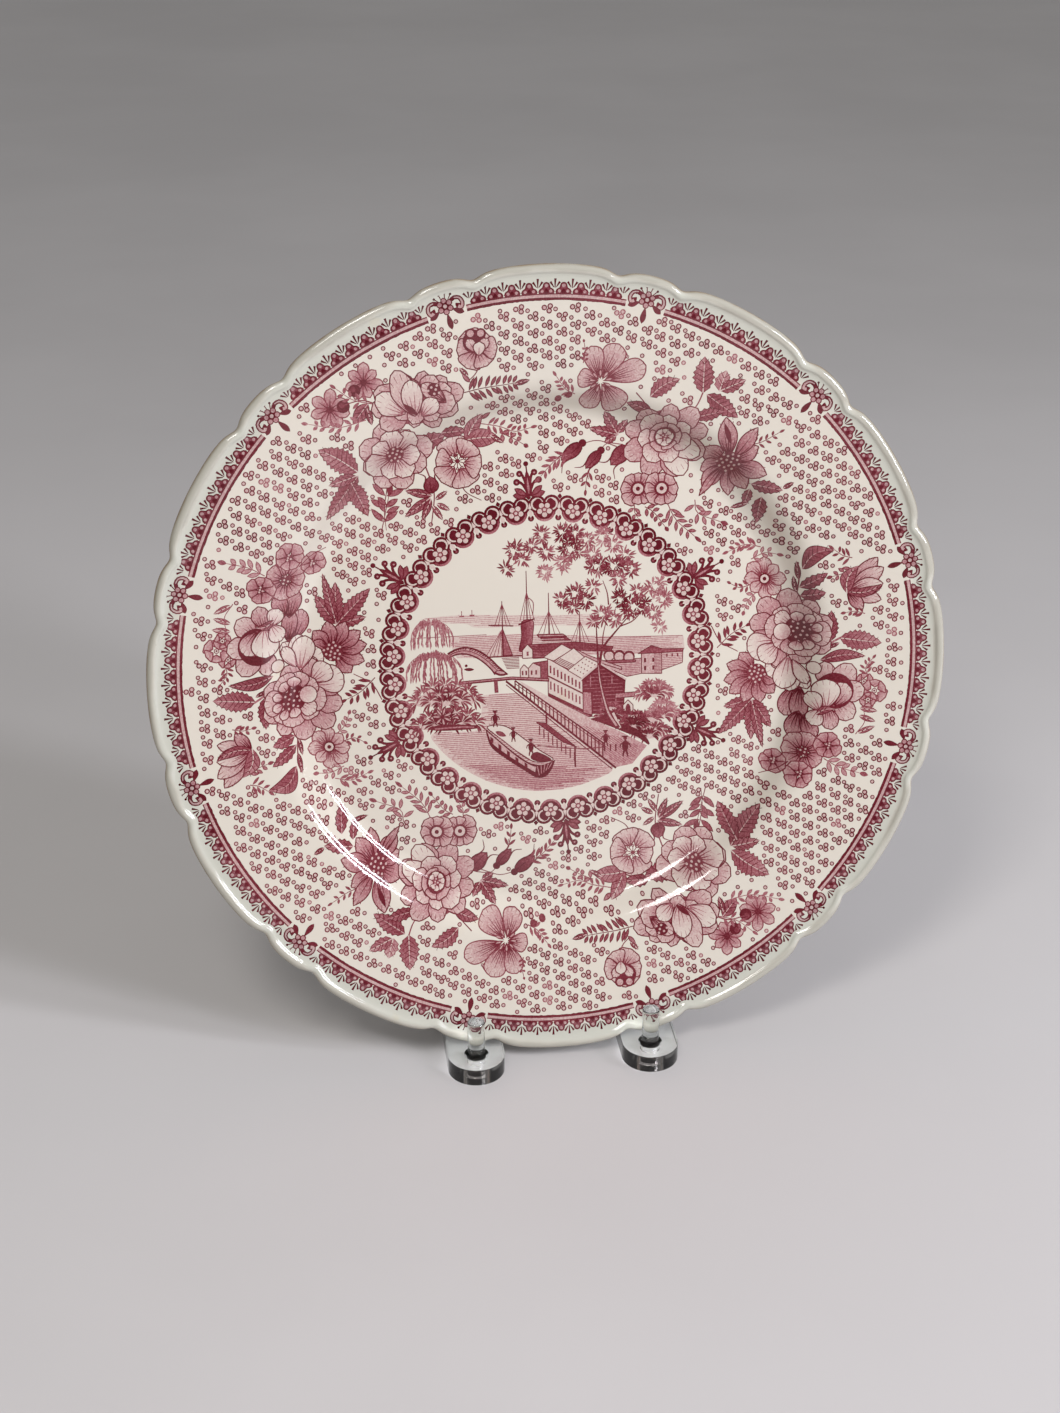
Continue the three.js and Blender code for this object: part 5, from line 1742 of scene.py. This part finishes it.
def clear_acrylic():
    """Clear plastic with a little haze and painted shade on the steep sides of the feet, that lets lamps
    through.
    """
    nodes = Nodes("clear_acrylic_finish")
    haze = nodes.span(nodes.noise(240.0, 4.0, 0.6, seed=6.0), 0.45, 0.75, *ACRYLIC_ROUGHNESS)
    nodes.link(haze, nodes.shader.inputs["Roughness"])
    split = nodes.add("ShaderNodeSeparateXYZ")
    nodes.link(nodes.add("ShaderNodeNewGeometry").outputs["Normal"], split.inputs[0])
    rise = nodes.maths("ABSOLUTE", split.outputs["Z"])
    low = nodes.add("ShaderNodeSeparateXYZ")
    nodes.link(nodes.place, low.inputs[0])
    near_floor = nodes.span(low.outputs["Z"], *FOOT_HEIGHT)
    foot = nodes.maths("MULTIPLY", near_floor, nodes.span(low.outputs["Y"], *FOOT_DEPTH))
    # Painted shade: how much of the darker colour the feet's steep sides get.
    cut = nodes.maths("MULTIPLY", nodes.span(rise, *FLAT_TO_SHADED_SIDE), foot)
    nodes.link(nodes.mix(cut, ACRYLIC, ACRYLIC_PAINTED_SHADE), nodes.shader.inputs["Base Color"])
    nodes.plain(IOR=1.49, Transmission_Weight=1.0)
    output = nodes.tree.nodes["Material Output"]
    for_lamps = nodes.add("ShaderNodeBsdfTransparent")
    for_lamps.inputs["Color"].default_value = ACRYLIC_SHADOW
    both = nodes.add("ShaderNodeMixShader")
    nodes.link(nodes.add("ShaderNodeLightPath").outputs["Is Shadow Ray"], both.inputs[0])
    nodes.link(nodes.shader.outputs[0], both.inputs[1])
    nodes.link(for_lamps.outputs[0], both.inputs[2])
    nodes.link(both.outputs[0], output.inputs["Surface"])
    return nodes.material


def floor_finish():
    """Pale matt paper with a faint variation."""
    nodes = Nodes("studio_floor")
    colour = nodes.mix(nodes.span(nodes.noise(3.0, 4.0, seed=1.0), 0.3, 0.7), FLOOR_DARK, FLOOR_LIGHT)
    nodes.link(colour, nodes.shader.inputs["Base Color"])
    nodes.plain(Roughness=0.7)
    return nodes.material


# ---- The plate ----

draw_border()
draw_medallion()
draw_bouquets()
draw_view()
draw_ground()

# Name, inner and outer radius, and the side of the plate's middle line (0 for both).
ZONES = (
    ("printed_view", 0.0, 47.0, 0),
    ("printed_medallion_band", 47.0, 56.0, 0),
    ("printed_flowers_left", 56.0, 118.2, -1),
    ("printed_flowers_right", 56.0, 118.2, 1),
    ("printed_rim_border", 118.2, 130.0, 0),
)
body = build_body()
body.data.materials.append(body_glaze())
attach(body, "plate")
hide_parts("plate")
print_material = printed_glaze()
for sheet in build_print(ZONES):
    sheet.data.materials.append(print_material)
    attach(sheet, "plate")

# ---- The stand: the CAD's own shapes, with smooth curves and polished edges ----

WELD = 0.004 * MM
FLAT_ANGLE = math.radians(0.4)  # facets closer than this become one flat face
EDGE_WIDTH = 0.5 * MM
EDGE_SEGMENTS = 3
EDGE_ANGLE = math.radians(35)
FLAT_WEIGHT = 80


def build_clear_piece(name, finish):
    """A copy of a CAD piece whose curves shade smoothly and whose edges are slightly rounded."""
    shape = bmesh.new()
    shape.from_mesh(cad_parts[name].data)
    bmesh.ops.remove_doubles(shape, verts=shape.verts, dist=WELD)
    bmesh.ops.dissolve_limit(shape, angle_limit=FLAT_ANGLE, verts=shape.verts, edges=shape.edges)
    mesh = bpy.data.meshes.new(name + "_clear")
    shape.to_mesh(mesh)
    shape.free()
    mesh.shade_smooth()
    mesh.materials.append(finish)
    piece = bpy.data.objects.new(name + "_clear", mesh)
    bpy.context.scene.collection.objects.link(piece)
    edges = piece.modifiers.new("polished_edges", "BEVEL")
    edges.width = EDGE_WIDTH
    edges.segments = EDGE_SEGMENTS
    edges.limit_method = "ANGLE"
    edges.angle_limit = EDGE_ANGLE
    flats = piece.modifiers.new("flat_faces", "WEIGHTED_NORMAL")
    flats.weight = FLAT_WEIGHT
    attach(piece, "stand")
    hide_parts(name)


acrylic = clear_acrylic()
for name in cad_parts:
    if name != "plate":
        build_clear_piece(name, acrylic)

# ---- Floor, light and camera ----

FLOOR_HALF_SIDE = 6.0
FLOOR_HEIGHT = -0.2 * MM
LIT_POINT = Vector((0, 0, 0.12))  # the lamps face this point
WINDOW_TINT = (0.965, 0.985, 1.07)
# Name, azimuth, elevation, distance, width and height of the lamp, power and tint.
LAMPS = (
    ("high_left", -27, 50, 1.15, (0.24, 0.34), 4.25, (1.02, 1.0, 0.965)),
    ("right_window", 44, 24, 1.2, (0.1, 0.45), 6.0, WINDOW_TINT),
    ("right_window", 58, 24, 1.2, (0.1, 0.45), 6.0, WINDOW_TINT),
)
SKY_STRENGTH = 0.36
SKY_LOW = (0.05, (0.16, 0.16, 0.17, 1))  # height in the sky and colour there
SKY_HIGH = (0.75, (1.0, 1.0, 1.0, 1))
SKY_BEHIND = 0.35  # how much brighter the sky gets behind the plate, which fills its back
CAMERA_AZIMUTH = -7.75
CAMERA_ELEVATION = 26.55
CAMERA_ROLL = math.radians(-0.33)
CAMERA_TARGET = Vector((-0.0031, 0.0, 0.1016))
CAMERA_DISTANCE = 0.7343
CAMERA_LENS = 54.5
CAMERA_SENSOR = 36.0
CAMERA_NEAREST = 0.01


def direction_to(azimuth, elevation):
    """The direction of a lamp or the camera from the plate: azimuth 0 is in front, positive to the right."""
    a = math.radians(azimuth)
    e = math.radians(elevation)
    return Vector((math.sin(a) * math.cos(e), -math.cos(a) * math.cos(e), math.sin(e)))


def build_floor():
    """A wide flat sheet just under the stand's feet."""
    size, low = FLOOR_HALF_SIDE, FLOOR_HEIGHT
    mesh = bpy.data.meshes.new("floor")
    corners = [(-size, -size, low), (size, -size, low), (size, size, low), (-size, size, low)]
    mesh.from_pydata(corners, [], [(0, 1, 2, 3)])
    floor = bpy.data.objects.new("floor", mesh)
    bpy.context.scene.collection.objects.link(floor)
    mesh.materials.append(floor_finish())


def area_light(name, azimuth, elevation, distance, size, power, tint):
    """A soft light that faces the plate."""
    back = direction_to(azimuth, elevation)
    data = bpy.data.lights.new(name, "AREA")
    data.shape = "RECTANGLE"
    data.size, data.size_y = size
    data.energy = power
    data.color = tint
    light = bpy.data.objects.new(name, data)
    light.location = LIT_POINT + back * distance
    light.rotation_mode = "QUATERNION"
    light.rotation_quaternion = back.to_track_quat("Z", "Y")
    bpy.context.scene.collection.objects.link(light)


def build_light():
    """A sky that brightens upwards and behind the plate, and the lamps."""
    world = bpy.data.worlds.new("studio")
    world.use_nodes = True
    tree = world.node_tree
    background = tree.nodes["Background"]
    background.inputs["Strength"].default_value = SKY_STRENGTH
    split = tree.nodes.new("ShaderNodeSeparateXYZ")
    tree.links.new(tree.nodes.new("ShaderNodeTexCoord").outputs["Generated"], split.inputs[0])
    rise = tree.nodes.new("ShaderNodeValToRGB")
    for stop, (position, colour) in zip(rise.color_ramp.elements, (SKY_LOW, SKY_HIGH)):
        stop.position = position
        stop.color = colour
    behind = tree.nodes.new("ShaderNodeMath")
    behind.operation = "MULTIPLY_ADD"
    behind.inputs[1].default_value = SKY_BEHIND
    tree.links.new(split.outputs["Y"], behind.inputs[0])
    tree.links.new(split.outputs["Z"], behind.inputs[2])
    highest = tree.nodes.new("ShaderNodeMath")
    highest.operation = "MAXIMUM"
    tree.links.new(split.outputs["Z"], highest.inputs[0])
    tree.links.new(behind.outputs[0], highest.inputs[1])
    tree.links.new(highest.outputs[0], rise.inputs[0])
    tree.links.new(rise.outputs[0], background.inputs["Color"])
    bpy.context.scene.world = world
    for lamp in LAMPS:
        area_light(*lamp)


def build_camera():
    """The camera at the photograph's viewing angle, turned a little about its own axis."""
    back = direction_to(CAMERA_AZIMUTH, CAMERA_ELEVATION)
    level = (-back).cross(Vector((0, 0, 1))).normalized()
    upright = level.cross(-back)
    side = level * math.cos(CAMERA_ROLL) - upright * math.sin(CAMERA_ROLL)
    top = level * math.sin(CAMERA_ROLL) + upright * math.cos(CAMERA_ROLL)
    data = bpy.data.cameras.new("camera")
    data.lens = CAMERA_LENS
    data.sensor_width = CAMERA_SENSOR
    data.clip_start = CAMERA_NEAREST
    camera = bpy.data.objects.new("camera", data)
    turned = Matrix((side, top, back)).transposed().to_4x4()
    camera.matrix_world = Matrix.Translation(CAMERA_TARGET + back * CAMERA_DISTANCE) @ turned
    bpy.context.scene.collection.objects.link(camera)
    bpy.context.scene.camera = camera


build_floor()
build_light()
build_camera()
bpy.context.scene.view_settings.view_transform = "Standard"

bpy.context.view_layer.update()
